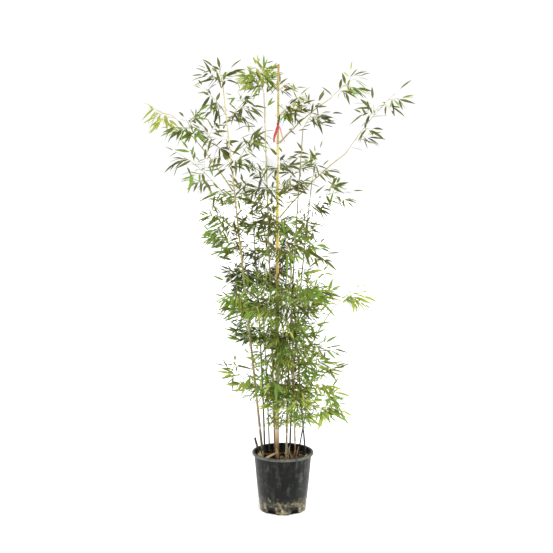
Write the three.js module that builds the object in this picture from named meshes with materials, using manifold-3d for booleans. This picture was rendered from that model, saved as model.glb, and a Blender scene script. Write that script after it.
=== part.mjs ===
// A clump of bamboo in a round nursery pot, as separate named solids: the pot and its soil, the canes,
// the boughs, and masses of twigs and leaves. Millimetres, +Z up, -Y to the front. The origin is the
// centre of the pot's flat underside.
import * as THREE from "three";
import { mergeVertices } from "three/addons/utils/BufferGeometryUtils.js";
import Module from "manifold-3d";

const wasm = await Module();
wasm.setup();

const GAP = 0.3; // air between neighbouring solids
const FLAT = 0.05; // faces flatter than this are made one

const POT = {
  facets: 36,
  height: 274,
  footRadius: 107,
  ledgeHeight: 54, // below it the wall stands a little inside the wall above
  ledgeStep: 1.6,
  shoulderRadius: 133, // outside of the wall just under the lip
  lipRadius: 142,
  lipDepth: 12,
  lipRound: 4,
  wall: 3,
  floor: 5,
  drains: 6, // arched cuts round the foot
  drainRadius: 23,
  drainReach: 14, // how far each cut goes in from the foot's edge
};
const SOIL_TOP = 248;

// A cane runs from its foot on the soil to its top. lean is the power of its sideways run: 1 leans
// evenly, and more than 1 stands up straighter first and leans further out near the top.
const CANES = {
  golden_cane: { foot: [-26, -18], top: [-20, -10, 2029], lean: 3, widths: [19, 9], sides: 8, rings: 12 },
  left_cane: { foot: [-91, -8], top: [-264, -30, 1940], lean: 1, widths: [12, 5], sides: 6, rings: 9 },
  pale_cane: { foot: [-36, 24], top: [-85, 70, 1902], lean: 1.1, widths: [10, 4], sides: 5, rings: 9 },
  brown_cane: { foot: [16, -30], top: [87, -60, 1750], lean: 1.5, widths: [10, 4], sides: 5, rings: 9 },
  black_cane: { foot: [33, 42], top: [135, 230, 1495], lean: 1.5, widths: [9, 4], sides: 5, rings: 8 },
  dark_cane: { foot: [-84, 46], top: [-142, 220, 1380], lean: 1.4, widths: [9, 4], sides: 5, rings: 8 },
  front_cane: { foot: [56, -52], top: [30, -200, 1178], lean: 1.4, widths: [8, 4], sides: 5, rings: 7 },
  right_cane: { foot: [106, 8], top: [37, 60, 1138], lean: 0.9, widths: [8, 4], sides: 5, rings: 7 },
  grey_cane: { foot: [-62, 88], top: [-96, 160, 992], lean: 1.2, widths: [7, 4], sides: 5, rings: 6 },
  right_shoot: { foot: [72, 30], top: [160, 20, 730], lean: 1.1, widths: [7, 4], sides: 5, rings: 5 },
  cut_stub: { foot: [-109, 34], top: [-129, 38, 328], lean: 1, widths: [11, 10], sides: 6, rings: 1 },
};

// A bough leaves its cane at height `from` and runs to `tip`, humped up by `arch` at its middle.
const BOUGHS = {
  right_high_bough: { on: "golden_cane", from: 1685, tip: [207, 20, 1878], arch: 14, widths: [6, 4] },
  right_long_bough: { on: "golden_cane", from: 1355, tip: [273, -40, 1639], arch: 18, widths: [7, 4] },
  left_high_bough: { on: "left_cane", from: 1474, tip: [-457, 20, 1772], arch: 16, widths: [6, 4] },
  right_low_bough: { on: "right_cane", from: 653, tip: [233, -40, 958], arch: 20, widths: [6, 4] },
};
const BOUGH = { sides: 5, rings: 6 };

// The masses of leaves that each limb bears. A mass grows from one stem, which ends at `tip`. The stem
// leaves its limb at height `from`, or goes on from the limb's end where `from` is left out. `spread`
// sets the length of its twigs and leaves, and the space they keep to.
const MASSES = {
  golden_cane: [
    { name: "golden_high_right", from: 1800, tip: [50, -110, 1862], arch: 8, spread: 80, twigs: 3 },
    { name: "golden_upper_front", from: 1430, tip: [-120, -120, 1560], arch: 10, spread: 95, twigs: 4 },
    { name: "golden_mid_back", from: 1455, tip: [80, 130, 1560], arch: 15, spread: 100, twigs: 4 },
    { name: "golden_mid_front", from: 1290, tip: [-80, -180, 1425], arch: 20, spread: 115, twigs: 4 },
    { name: "golden_low_back", from: 1160, tip: [30, 190, 1275], arch: 20, spread: 120, twigs: 4 },
    { name: "golden_foot_front", from: 660, tip: [5, -150, 800], arch: 30, spread: 135, twigs: 5 },
  ],
  left_cane: [
    { name: "left_crown", tip: [-272, -50, 1985], spread: 88, twigs: 4 },
    { name: "left_high_left", from: 1810, tip: [-325, 90, 1890], arch: 10, spread: 85, twigs: 3 },
    { name: "left_high_right", from: 1780, tip: [-155, 60, 1875], arch: 10, spread: 85, twigs: 3 },
    { name: "left_mid_left", from: 1590, tip: [-355, 130, 1725], arch: 10, spread: 95, twigs: 4 },
    { name: "left_mid_right", from: 1555, tip: [-150, -150, 1690], arch: 10, spread: 90, twigs: 3 },
    { name: "left_reaching", from: 1400, tip: [-455, -140, 1650], arch: 25, spread: 95, twigs: 5 },
    { name: "left_low_left", from: 1190, tip: [-280, -80, 1330], arch: 15, spread: 100, twigs: 4 },
    { name: "left_foot", from: 750, tip: [-185, 60, 890], arch: 15, spread: 100, twigs: 3 },
    { name: "left_tuft", from: 900, tip: [-205, -70, 1020], arch: 35, spread: 115, twigs: 5 },
    { name: "left_hanger", from: 540, tip: [-235, -20, 665], arch: 20, spread: 85, twigs: 3 },
  ],
  pale_cane: [
    { name: "pale_crown", tip: [-108, 60, 1985], spread: 85, twigs: 5 },
    { name: "pale_high_back", from: 1640, tip: [-160, 180, 1760], arch: 15, spread: 100, twigs: 3 },
    { name: "pale_low_front", from: 520, tip: [-75, -100, 665], arch: 30, spread: 130, twigs: 5 },
  ],
  brown_cane: [
    { name: "brown_crown", tip: [131, -60, 1830], spread: 95, twigs: 3 },
    { name: "brown_reaching", from: 1380, tip: [250, -120, 1480], arch: 20, spread: 90, twigs: 4 },
    { name: "brown_low_right", from: 1160, tip: [125, -60, 1290], arch: 20, spread: 100, twigs: 4 },
    { name: "brown_low_front", from: 980, tip: [60, -200, 1105], arch: 25, spread: 120, twigs: 4 },
  ],
  black_cane: [
    { name: "black_crown", tip: [155, 240, 1575], spread: 110, twigs: 4 },
    { name: "black_mid_back", from: 1060, tip: [140, 180, 1180], arch: 20, spread: 110, twigs: 3 },
    { name: "black_low_back", from: 520, tip: [75, 140, 680], arch: 25, spread: 130, twigs: 5 },
  ],
  dark_cane: [
    { name: "dark_crown", tip: [-180, 240, 1440], spread: 115, twigs: 3 },
    { name: "dark_low_back", from: 1000, tip: [-200, 200, 1110], arch: 20, spread: 115, twigs: 4 },
  ],
  front_cane: [
    { name: "front_crown", tip: [10, -240, 1290], spread: 115, twigs: 4 },
    { name: "front_mid", from: 880, tip: [-80, -220, 1010], arch: 30, spread: 130, twigs: 5 },
    { name: "front_low", from: 430, tip: [45, -150, 575], arch: 20, spread: 125, twigs: 5 },
  ],
  right_cane: [
    { name: "right_mid", from: 880, tip: [155, 40, 1010], arch: 20, spread: 110, twigs: 5 },
    { name: "right_low", from: 600, tip: [175, -20, 770], arch: 20, spread: 105, twigs: 5 },
    { name: "right_hanger", from: 520, tip: [225, 60, 640], arch: 20, spread: 90, twigs: 4 },
  ],
  grey_cane: [
    { name: "grey_crown", tip: [-110, 175, 1060], spread: 130, twigs: 5 },
  ],
  right_shoot: [
    { name: "shoot_crown", from: 400, tip: [225, 0, 505], arch: 30, spread: 95, twigs: 4 },
  ],
  right_high_bough: [
    { name: "right_high_spray", tip: [320, 80, 1965], arch: 8, spread: 88, twigs: 3 },
  ],
  right_long_bough: [
    { name: "right_long_spray", tip: [482, -110, 1905], arch: 15, spread: 88, twigs: 6 },
  ],
  left_high_bough: [
    { name: "left_bough_spray", from: 1690, tip: [-425, -90, 1795], arch: 8, spread: 85, twigs: 3 },
    { name: "left_high_spray", tip: [-555, 70, 1805], arch: 20, spread: 88, twigs: 3 },
  ],
  right_low_bough: [
    { name: "right_low_spray", tip: [330, -30, 1010], arch: 20, spread: 88, twigs: 3 },
  ],
};

const STEM = { widths: [6, 5], sides: 4, rings: 3 };
const TWIG = {
  widths: [3.4, 3.2],
  sides: 3,
  first: 0.15, // parts of the way along the stem
  last: 0.94,
  shortest: 0.35, // spreads
  longest: 0.65,
  faces: [1, 3, -1, -3], // quarters of a half turn from the stem's level side to the middle of a face
};
const LEAF = {
  perTwig: 4,
  shortest: 34, // a leaf is this long, and perSpread of its mass's spread longer
  perSpread: 0.72,
  width: 1 / 5, // parts of its length
  thickness: 1 / 40,
  widestAt: 0.38,
  sunk: 2, // how far an end leaf starts inside its twig
  reach: 1.4, // how far leaf tips may be from the stem, in spreads
  apart: 12, // between the midribs of two leaves
  offWood: 4, // between a midrib and another twig
};

// A film strip tied round the golden cane, with two loose tails.
const RIBBON = {
  name: "red_ribbon",
  ring: { on: "golden_cane", height: 1770, inner: 6, outer: 7.2, band: 10 },
  thickness: 1,
  tails: [
    { length: 80, width: 11, lean: 0.28 },
    { length: 58, width: 8, lean: -0.2 },
  ],
};
// A blank card hung from a loop round the golden cane.
const TAG = {
  name: "blank_tag",
  ring: { on: "golden_cane", height: 1632, inner: 6.5, outer: 7.9, band: 6 },
  card: { width: 60, thickness: 1, height: 68 },
  shift: -20, // of the card's middle from the cane
};

const UP = new THREE.Vector3(0, 0, 1);
const mix = (a, b, t) => a + (b - a) * t;

// A seeded roll of numbers from 0 to 1, the same on every run.
function dice(seed) {
  let state = seed >>> 0;
  const roll = (low = 0, high = 1) => {
    state = (Math.imul(state, 1664525) + 1013904223) >>> 0;
    return mix(low, high, state / 4294967296);
  };
  for (let i = 0; i < 4; i++) roll();
  return roll;
}

// A limb is a line in one upright plane: it runs sideways as t^lean, and upwards as t with a hump.
function makeLimb({ root, tip, lean = 1, arch = 0, widths }) {
  const reach = tip.clone().sub(root);
  const side = new THREE.Vector3(-reach.y, reach.x, 0).normalize();
  const radius = (t) => mix(widths[0], widths[1], t) / 2;
  const at = (t) => {
    const out = t ** lean;
    const hump = arch * 4 * t * (1 - t);
    return new THREE.Vector3(reach.x * out, reach.y * out, reach.z * t + hump).add(root);
  };
  const along = (t) => at(Math.min(1, t + 0.01)).sub(at(Math.max(0, t - 0.01))).normalize();
  return { side, radius, at, along };
}

// The part of the way along a limb, from 0 to 1, at which it reaches height z.
function partAt(limb, z) {
  let low = 0;
  let high = 1;
  for (let i = 0; i < 30; i++) {
    const middle = (low + high) / 2;
    if (limb.at(middle).z < z) low = middle;
    else high = middle;
  }
  return low;
}

// A direction that leaves a limb at angle `spread` from its line, turned by `turn` from its level side
// towards its underside.
function branchFrom(limb, t, spread, turn) {
  const along = limb.along(t);
  const under = limb.side.clone().cross(along);
  const out = limb.side.clone().multiplyScalar(Math.cos(turn)).addScaledVector(under, Math.sin(turn));
  return along.multiplyScalar(Math.cos(spread)).addScaledVector(out, Math.sin(spread)).normalize();
}

// Moves each vertex p of a geometry to place(p).
function moved(geometry, place) {
  const position = geometry.getAttribute("position");
  for (let i = 0; i < position.count; i++) {
    position.setXYZ(i, ...place(new THREE.Vector3().fromBufferAttribute(position, i)));
  }
  return geometry;
}

// The limb as a closed tube: a cylinder with its rings moved onto the limb's line.
function limbGeometry(limb, sides, rings) {
  return moved(new THREE.CylinderGeometry(1, 1, 1, sides, rings), (p) => {
    const t = p.y + 0.5;
    const under = limb.side.clone().cross(limb.along(t));
    const offset = limb.side.clone().multiplyScalar(p.x).addScaledVector(under, p.z);
    return limb.at(t).addScaledVector(offset, limb.radius(t));
  });
}

// An eight-sided blade, pointed at both ends and widest a little below its middle.
function leafGeometry({ base, along, face, length }) {
  const across = face.clone().cross(along).normalize();
  const over = along.clone().cross(across);
  return moved(new THREE.OctahedronGeometry(1), (p) => {
    const onRib = p.x > 0.5 ? 1 : p.x < -0.5 ? 0 : LEAF.widestAt;
    const at = base.clone().addScaledVector(along, onRib * length);
    at.addScaledVector(across, (p.y * LEAF.width * length) / 2);
    return at.addScaledVector(over, (p.z * LEAF.thickness * length) / 2);
  });
}

function solidOf(geometry) {
  const bare = geometry.clone();
  bare.deleteAttribute("normal");
  bare.deleteAttribute("uv");
  const merged = mergeVertices(bare, 1e-4);
  return new wasm.Manifold(
    new wasm.Mesh({
      numProp: 3,
      vertProperties: merged.getAttribute("position").array,
      triVerts: new Uint32Array(merged.index.array),
    }),
  );
}

const root = new THREE.Group();

function addNode(name, solid, material) {
  const made = solid.simplify(FLAT).getMesh();
  const geometry = new THREE.BufferGeometry();
  geometry.setAttribute("position", new THREE.BufferAttribute(made.vertProperties, 3));
  geometry.setIndex(new THREE.BufferAttribute(made.triVerts, 1));
  geometry.computeVertexNormals();
  const mesh = new THREE.Mesh(geometry, material);
  mesh.name = name;
  root.add(mesh);
}

const finish = (color, roughness) => new THREE.MeshStandardMaterial({ color, roughness, metalness: 0 });
const BLACK_PLASTIC = finish(0x3a3d3b, 0.6);
const COMPOST = finish(0x3b2a1c, 0.95);
const GOLDEN_CULM = finish(0xd9a63a, 0.4);
const PALE_CULM = finish(0xb9a765, 0.45);
const DARK_CULM = finish(0x4a3b28, 0.5);
const BOUGH_BARK = finish(0x9a9a52, 0.55);
const FOLIAGE = finish(0x56752f, 0.5);
const RED_FILM = finish(0xd2344a, 0.5);
const WHITE_CARD = finish(0xf2f2ee, 0.5);
const CULMS = { golden_cane: GOLDEN_CULM, left_cane: PALE_CULM, pale_cane: PALE_CULM };

// Where solids already stand: lines with a thickness round them, each with its owner's name.
const taken = [];

function take(owner, from, to, radius) {
  taken.push({ owner, line: new THREE.Line3(from, to), radius });
}

function takeLimb(owner, limb, pieces) {
  for (let i = 0; i < pieces; i++) {
    take(owner, limb.at(i / pieces), limb.at((i + 1) / pieces), limb.radius(i / pieces));
  }
}

function isClear(owner, line, radius) {
  return taken.every(
    (other) =>
      other.owner === owner || line.distanceSqToLine3(other.line) > (radius + other.radius + GAP) ** 2,
  );
}

function addPot() {
  const { height, footRadius, ledgeHeight, ledgeStep, shoulderRadius, wall, floor } = POT;
  const { lipRadius, lipRound } = POT;
  const lipFoot = height - POT.lipDepth;
  const wallAt = (z) => mix(footRadius, shoulderRadius, z / lipFoot);
  const insideAt = (z) => wallAt(z) - wall - ledgeStep;
  const outline = [
    [0, 0],
    [footRadius, 0],
    [wallAt(ledgeHeight) - ledgeStep, ledgeHeight],
    [wallAt(ledgeHeight), ledgeHeight + 2],
    [shoulderRadius, lipFoot],
    [lipRadius - lipRound, lipFoot],
    [lipRadius, lipFoot + lipRound],
    [lipRadius, height - lipRound],
    [lipRadius - lipRound, height],
    [shoulderRadius - wall, height],
    [insideAt(floor), floor],
    [0, floor],
  ].map(([radius, z]) => new THREE.Vector2(radius, z));
  let pot = solidOf(new THREE.LatheGeometry(outline, POT.facets).rotateX(Math.PI / 2));
  for (let i = 0; i < POT.drains; i++) {
    const cut = new THREE.CylinderGeometry(POT.drainRadius, POT.drainRadius, 2 * POT.drainReach, 16);
    cut.translate(0, -footRadius, 0).rotateZ(((i + 0.5) * 2 * Math.PI) / POT.drains);
    pot = pot.subtract(solidOf(cut));
  }
  addNode("pot", pot, BLACK_PLASTIC);

  const bottom = floor + GAP;
  const soil = new THREE.CylinderGeometry(
    insideAt(SOIL_TOP) - GAP,
    insideAt(bottom) - GAP,
    SOIL_TOP - bottom,
    POT.facets,
  );
  addNode("soil", solidOf(soil.rotateX(Math.PI / 2).translate(0, 0, (SOIL_TOP + bottom) / 2)), COMPOST);
}

const limbs = new Map();

function addLimb(name, limb, sides, rings, material) {
  limbs.set(name, limb);
  takeLimb(name, limb, 24);
  addNode(name, solidOf(limbGeometry(limb, sides, rings)), material);
}

function addCane([name, { foot, top, lean, widths, sides, rings }]) {
  const limb = makeLimb({
    root: new THREE.Vector3(...foot, SOIL_TOP + GAP + widths[0] * 0.1),
    tip: new THREE.Vector3(...top),
    lean,
    widths,
  });
  addLimb(name, limb, sides, rings, CULMS[name] ?? DARK_CULM);
}

// A side limb, which starts just clear of the limb it leaves, or just beyond that limb's end.
function sideLimb({ on, from, tip, arch = 0, widths }) {
  const parent = limbs.get(on);
  const t = from === undefined ? 1 : partAt(parent, from);
  const end = new THREE.Vector3(...tip);
  const start = parent.at(t);
  const axis = parent.along(t);
  const way = end.clone().sub(start).addScaledVector(UP, arch * 4).normalize();
  const lying = Math.abs(way.dot(axis));
  const across = Math.sqrt(Math.max(0, 1 - lying * lying));
  if (from === undefined) start.addScaledVector(axis, GAP + (widths[0] / 2 + parent.radius(1)) * across);
  else {
    const out = way.clone().addScaledVector(axis, -way.dot(axis)).normalize();
    start.addScaledVector(out, GAP + parent.radius(t) + (widths[0] / 2) * lying);
  }
  return makeLimb({ root: start, tip: end, arch, widths });
}

// A ring round a cane at a height, and the place of its middle.
function ringRound({ on, height, inner, outer, band }) {
  const cane = limbs.get(on);
  const centre = cane.at(partAt(cane, height));
  const outline = [
    [inner, -band / 2],
    [outer, -band / 2],
    [outer, band / 2],
    [inner, band / 2],
    [inner, -band / 2],
  ].map(([radius, z]) => new THREE.Vector2(radius, z));
  const ring = new THREE.LatheGeometry(outline, 10).rotateX(Math.PI / 2).translate(...centre);
  return { ring: solidOf(ring), front: centre.clone().add(new THREE.Vector3(0, -outer, 0)) };
}

function addRibbon() {
  const { ring, front } = ringRound(RIBBON.ring);
  const tails = RIBBON.tails.map(({ length, width, lean }) => {
    const end = new THREE.Vector3(-Math.sin(lean), 0, -Math.cos(lean)).multiplyScalar(length).add(front);
    take(RIBBON.name, front, end, width / 2);
    const tail = new THREE.BoxGeometry(width, RIBBON.thickness, length);
    tail.translate(0, 0, (RIBBON.ring.band - length) / 2).rotateY(lean).translate(...front);
    return solidOf(tail);
  });
  addNode(RIBBON.name, wasm.Manifold.union([ring, ...tails]), RED_FILM);
}

function addTag() {
  const { ring, front } = ringRound(TAG.ring);
  const { width, thickness, height } = TAG.card;
  const middle = front.clone().add(new THREE.Vector3(TAG.shift, 0, -height / 2));
  const card = new THREE.BoxGeometry(width, thickness, height).translate(...middle);
  addNode(TAG.name, ring.add(solidOf(card)), WHITE_CARD);
  for (const across of [-0.375, -0.125, 0.125, 0.375]) {
    const top = middle.clone().add(new THREE.Vector3(across * width, 0, height / 2));
    take(TAG.name, top, top.clone().addScaledVector(UP, -height), width / 8);
  }
}

// Twig k of a mass, which comes out through the middle of one of the stem's faces, taken in turn.
function twigOf(mass, stem, k, roll) {
  const t = mix(TWIG.first, TWIG.last, (k + roll(0.3, 0.7)) / mass.twigs);
  const turn = (TWIG.faces[k % TWIG.faces.length] / 4 + roll(-0.06, 0.06)) * Math.PI;
  const way = branchFrom(stem, t, roll(0.7, 1.1), turn);
  const tip = stem.at(t).addScaledVector(way, mass.spread * roll(TWIG.shortest, TWIG.longest));
  return makeLimb({ root: stem.at(t), tip, widths: TWIG.widths });
}

// Leaf j of a twig. The last goes straight on from the twig's end. The others come out through the
// middles of its two lower faces in turn, so they fan out to both sides and hang a little.
function leafOf(mass, twig, j, roll) {
  const last = j === LEAF.perTwig - 1;
  const t = last ? 0.97 : mix(0.25, 0.9, (j + roll(0.2, 0.8)) / (LEAF.perTwig - 1));
  const turn = ((j % 2 ? 1 / 6 : 5 / 6) + roll(-0.07, 0.07)) * Math.PI;
  const along = branchFrom(twig, t, last ? 0.06 : roll(0.5, 1.1), turn);
  const face = new THREE.Vector3(roll(-1, 1), roll(-1, 1), roll(0.2, 0.9));
  const base = twig.at(t).addScaledVector(along, last ? -LEAF.sunk : 0);
  const length = (LEAF.shortest + LEAF.perSpread * mass.spread) * roll(0.85, 1.15);
  const ribAt = (part) => base.clone().addScaledVector(along, part * length);
  return { base, along, face, length, rib: new THREE.Line3(ribAt(0.1), ribAt(1)) };
}

function addMass(mass, index) {
  const { name, spread } = mass;
  const stem = sideLimb({ ...mass, widths: STEM.widths });
  takeLimb(name, stem, 4);
  const core = new THREE.Line3(stem.at(TWIG.first), stem.at(1));
  const grown = [limbGeometry(stem, STEM.sides, STEM.rings)];
  const sprays = [];
  for (let k = 0; k < mass.twigs; k++) {
    const roll = dice(index * 1009 + k * 31 + 7);
    const twig = twigOf(mass, stem, k, roll);
    const line = new THREE.Line3(twig.at(0), twig.at(1));
    if (!isClear(name, line, twig.radius(0))) continue;
    sprays.push({ twig, line, roll, first: 0 });
    grown.push(limbGeometry(twig, TWIG.sides, 1));
  }
  // The stem ends in a leaf of its own.
  sprays.push({ twig: stem, line: core, roll: dice(index * 1009 + 5), first: LEAF.perTwig - 1 });

  const ribs = [];
  const offWood = (rib, own) =>
    sprays.every(
      ({ twig, line }) =>
        twig === own || line.distanceSqToLine3(rib) > (twig.radius(0) + LEAF.offWood) ** 2,
    );
  const inSpace = (tip) =>
    core.closestPointToPoint(tip, true, new THREE.Vector3()).distanceTo(tip) < LEAF.reach * spread;
  for (const { twig, roll, first } of sprays) {
    for (let j = first; j < LEAF.perTwig; j++) {
      const leaf = leafOf(mass, twig, j, roll);
      const apart = ribs.every((rib) => rib.distanceSqToLine3(leaf.rib) > LEAF.apart ** 2);
      if (!apart || !inSpace(leaf.rib.end) || !offWood(leaf.rib, twig)) continue;
      if (!isClear(name, leaf.rib, LEAF.width * leaf.length * 0.5)) continue;
      ribs.push(leaf.rib);
      grown.push(leafGeometry(leaf));
    }
  }
  sprays.forEach(({ twig, line }) => take(name, line.start, line.end, twig.radius(0)));
  ribs.forEach((rib) => take(name, rib.start, rib.end, LEAF.width * rib.distance() * 0.5));
  // A leaf cut loose from its twig by another's face is a scrap, and is dropped.
  const bodies = wasm.Manifold.union(grown.map(solidOf)).decompose();
  bodies.sort((a, b) => b.volume() - a.volume());
  addNode(name, bodies[0], FOLIAGE);
}

addPot();
Object.entries(CANES).forEach(addCane);
addRibbon();
addTag();
for (const [name, bough] of Object.entries(BOUGHS)) {
  addLimb(name, sideLimb(bough), BOUGH.sides, BOUGH.rings, BOUGH_BARK);
}
Object.entries(MASSES)
  .flatMap(([on, masses]) => masses.map((mass) => ({ on, ...mass })))
  .forEach(addMass);

export default root;
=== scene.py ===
# %% [markdown]
# # A clump of bamboo in a nursery pot
#
# The plant is a young garden bamboo, a little over two metres high. Ten thin canes stand in a black
# nursery pot. Each cane carries side branches, and each branch ends in fans of narrow leaves.
#
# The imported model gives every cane, bough and mass of leaves at its true size. The solids stand for
# whole sprays with one thick leaf each. Here the same rule of growth is written again and carried on to
# real twigs and real leaves, so the crown keeps its outline and gains its fine texture.

# %% Tools and the fixed frame
import math

import bmesh
import bpy
import numpy as np
from mathutils import Matrix, Vector, noise


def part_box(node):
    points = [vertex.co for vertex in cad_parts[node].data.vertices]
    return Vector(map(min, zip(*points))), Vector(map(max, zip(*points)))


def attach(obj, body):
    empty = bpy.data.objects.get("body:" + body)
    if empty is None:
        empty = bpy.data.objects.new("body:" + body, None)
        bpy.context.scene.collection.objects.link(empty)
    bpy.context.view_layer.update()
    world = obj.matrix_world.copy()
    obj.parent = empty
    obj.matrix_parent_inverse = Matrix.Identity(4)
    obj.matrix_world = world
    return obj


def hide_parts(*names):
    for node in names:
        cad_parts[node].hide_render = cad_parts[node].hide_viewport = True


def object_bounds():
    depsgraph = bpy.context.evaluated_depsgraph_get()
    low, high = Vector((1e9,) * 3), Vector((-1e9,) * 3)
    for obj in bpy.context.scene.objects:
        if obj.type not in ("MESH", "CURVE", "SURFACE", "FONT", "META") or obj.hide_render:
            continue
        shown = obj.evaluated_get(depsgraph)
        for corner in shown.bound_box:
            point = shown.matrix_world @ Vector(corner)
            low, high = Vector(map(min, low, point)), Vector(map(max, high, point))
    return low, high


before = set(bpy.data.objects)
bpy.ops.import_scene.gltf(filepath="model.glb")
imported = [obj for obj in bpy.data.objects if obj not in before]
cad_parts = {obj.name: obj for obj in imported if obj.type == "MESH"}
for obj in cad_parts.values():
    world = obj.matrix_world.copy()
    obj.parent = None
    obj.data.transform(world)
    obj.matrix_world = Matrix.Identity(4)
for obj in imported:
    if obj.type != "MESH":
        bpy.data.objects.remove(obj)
CAD_LOW, CAD_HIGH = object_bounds()
print("nodes in the frame:", len(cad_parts))
print("plant height in metres:", round(CAD_HIGH.z, 3))

# %% [markdown]
# ## Helpers for things and materials
#
# A camera, a lamp and a mesh all come into the scene in the same way, which one short helper does.
#
# A material is a small graph of nodes, and so is a sky. One helper turns a colour as a painter names it,
# in sRGB hex, into the linear numbers that light is reckoned in. Another adds a node with its settings
# and its links in a single call. The rest are the few kinds of node that every finish here is made of,
# such as a cloud of noise, a range turned into another, and one colour laid over the next.

# %% Things in the scene
def placed(name, data):
    """A mesh, a camera or a lamp as an object in the scene."""
    made = bpy.data.objects.new(name, data)
    bpy.context.scene.collection.objects.link(made)
    return made


# %% Colours and nodes
MIX_A, MIX_B, MIX_COLOUR = 6, 7, 2  # the colour sockets of a Mix node, which share their names


def linear(hex_colour):
    """The linear red, green, blue and alpha of an sRGB hex colour."""
    parts = [int(hex_colour[i : i + 2], 16) / 255 for i in (1, 3, 5)]
    return tuple(p / 12.92 if p <= 0.04045 else ((p + 0.055) / 1.055) ** 2.4 for p in parts) + (1.0,)


def add(tree, kind, inputs=(), **settings):
    """Adds one node. inputs maps a socket's name or number to a value, or to a socket to link from."""
    made = tree.nodes.new(kind)
    for key, value in settings.items():
        setattr(made, key, value)
    for key, value in dict(inputs).items():
        if isinstance(value, bpy.types.NodeSocket):
            tree.links.new(value, made.inputs[key])
        else:
            made.inputs[key].default_value = value
    return made


def new_finish(name):
    """An empty material, and the node tree to fill."""
    material = bpy.data.materials.new(name)
    material.use_nodes = True
    material.node_tree.nodes.clear()
    return material, material.node_tree


def place_of(tree):
    """Where the spot is, in metres from the middle of the floor."""
    return add(tree, "ShaderNodeNewGeometry").outputs["Position"]


def stretched(tree, place, width, times):
    """A place squeezed for noise: that many metres wide, and that many times as long upright."""
    scale = (1 / width, 1 / width, 1 / width / times)
    return add(tree, "ShaderNodeMapping", {0: place, "Scale": scale}).outputs[0]


def cloud(tree, place, scale, detail=2.0, roughness=0.5):
    """Noise about a middle of 0.5. scale is in waves to the metre."""
    settings = {"Vector": place, "Scale": scale, "Detail": detail, "Roughness": roughness}
    return add(tree, "ShaderNodeTexNoise", settings).outputs[0]


def ranged(tree, value, low, high, least=0.0, most=1.0):
    """Turns the range from low to high into the range from least to most, and stops at its ends."""
    ends = {"From Min": low, "From Max": high, "To Min": least, "To Max": most}
    return add(tree, "ShaderNodeMapRange", {"Value": value, **ends}).outputs[0]


def maths(tree, operation, *values):
    """One sum, of numbers or sockets."""
    return add(tree, "ShaderNodeMath", dict(enumerate(values)), operation=operation).outputs[0]


def ramped(tree, value, stops):
    """A colour picked by a value. Each stop is a value from 0 to 1 and a hex colour."""
    ramp = add(tree, "ShaderNodeValToRGB", {0: value})
    elements = ramp.color_ramp.elements
    while len(elements) < len(stops):
        elements.new(0.5)
    for element, (place, colour) in zip(elements, sorted(stops)):
        element.position = place
        element.color = linear(colour)
    return ramp.outputs[0]


def shaded(tree, colour, factor):
    """A colour made darker or lighter."""
    return add(tree, "ShaderNodeVectorMath", {0: colour, 1: factor}, operation="MULTIPLY").outputs[0]


def laid(tree, share, under, upper):
    """One colour laid over another, by a share from 0 to 1."""
    colours = {0: share, MIX_A: under, MIX_B: upper}
    return add(tree, "ShaderNodeMix", colours, data_type="RGBA").outputs[MIX_COLOUR]


def bumped(tree, height, strength, depth):
    """Fine relief, with its depth in metres."""
    return add(tree, "ShaderNodeBump", {"Height": height, "Strength": strength, "Distance": depth}).outputs[0]


def coated(tree, colour, roughness, **more):
    """The surface of a material: its colour, how dull it is, and its other sockets by name."""
    sockets = {name.replace("_", " "): value for name, value in more.items()}
    sockets = {"Base Color": colour, "Roughness": roughness, **sockets}
    return add(tree, "ShaderNodeBsdfPrincipled", sockets).outputs[0]


def finished(tree, surface, through=None, share=0.0):
    """Ends a material. through is the colour of the share of light that passes through it."""
    if through:
        light = add(tree, "ShaderNodeBsdfTranslucent", {"Color": linear(through)}).outputs[0]
        surface = add(tree, "ShaderNodeMixShader", {0: share, 1: surface, 2: light}).outputs[0]
    add(tree, "ShaderNodeOutputMaterial", {0: surface})


print("leaf green in linear light:", [round(c, 3) for c in linear("#587233")])

# %% [markdown]
# ## The camera and the light
#
# A tall thin plant is best shown from well back, with a long lens, so that its top and its foot have the
# same scale. A camera a little above the crown's middle looks slightly down and shows the soil in the pot.
#
# The light is a white studio. A white sky gives the fill. It is dimmer on the viewer's side, where a
# real studio is dark, so that round things keep a darker middle. The camera itself sees plain white all
# round, so the ground of the picture stays white from every side. One wide soft sun, high in front and a
# little to the right, gives the leaves a bright and a dark side. A sun has no fall-off, so the floor
# stays evenly white.

# %% The camera
PICTURE_LENS = 90.9  # millimetres, on a sensor 36 mm wide
CAMERA_PLACE = Vector((-0.029, -6.2, 2.1))
CAMERA_DIP = 9.29  # degrees below the level

camera = placed("camera", bpy.data.cameras.new("camera"))
camera.data.sensor_width = 36
camera.data.lens = PICTURE_LENS
camera.location = CAMERA_PLACE
camera.rotation_euler = (math.radians(90 - CAMERA_DIP), 0, 0)
bpy.context.scene.camera = camera
print("camera stands", round(-CAMERA_PLACE.y, 2), "metres in front of the plant")

# %% The white sky and the soft sun
SKY_STRENGTH = 1.05
FRONT_SHARE = 0.42  # of the sky's light that comes from the side the picture is taken from
FRONT_FROM, FRONT_TO = -0.95, -0.1  # the sky brightens between these, with -1 towards the viewer
SUN_STRENGTH = 2.6
SUN_WIDTH = 42  # degrees across, which gives soft shadows
SUN_TURN = (30, 5, 12)  # degrees about x, y and z, so that it stands in front and a little to the right

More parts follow.
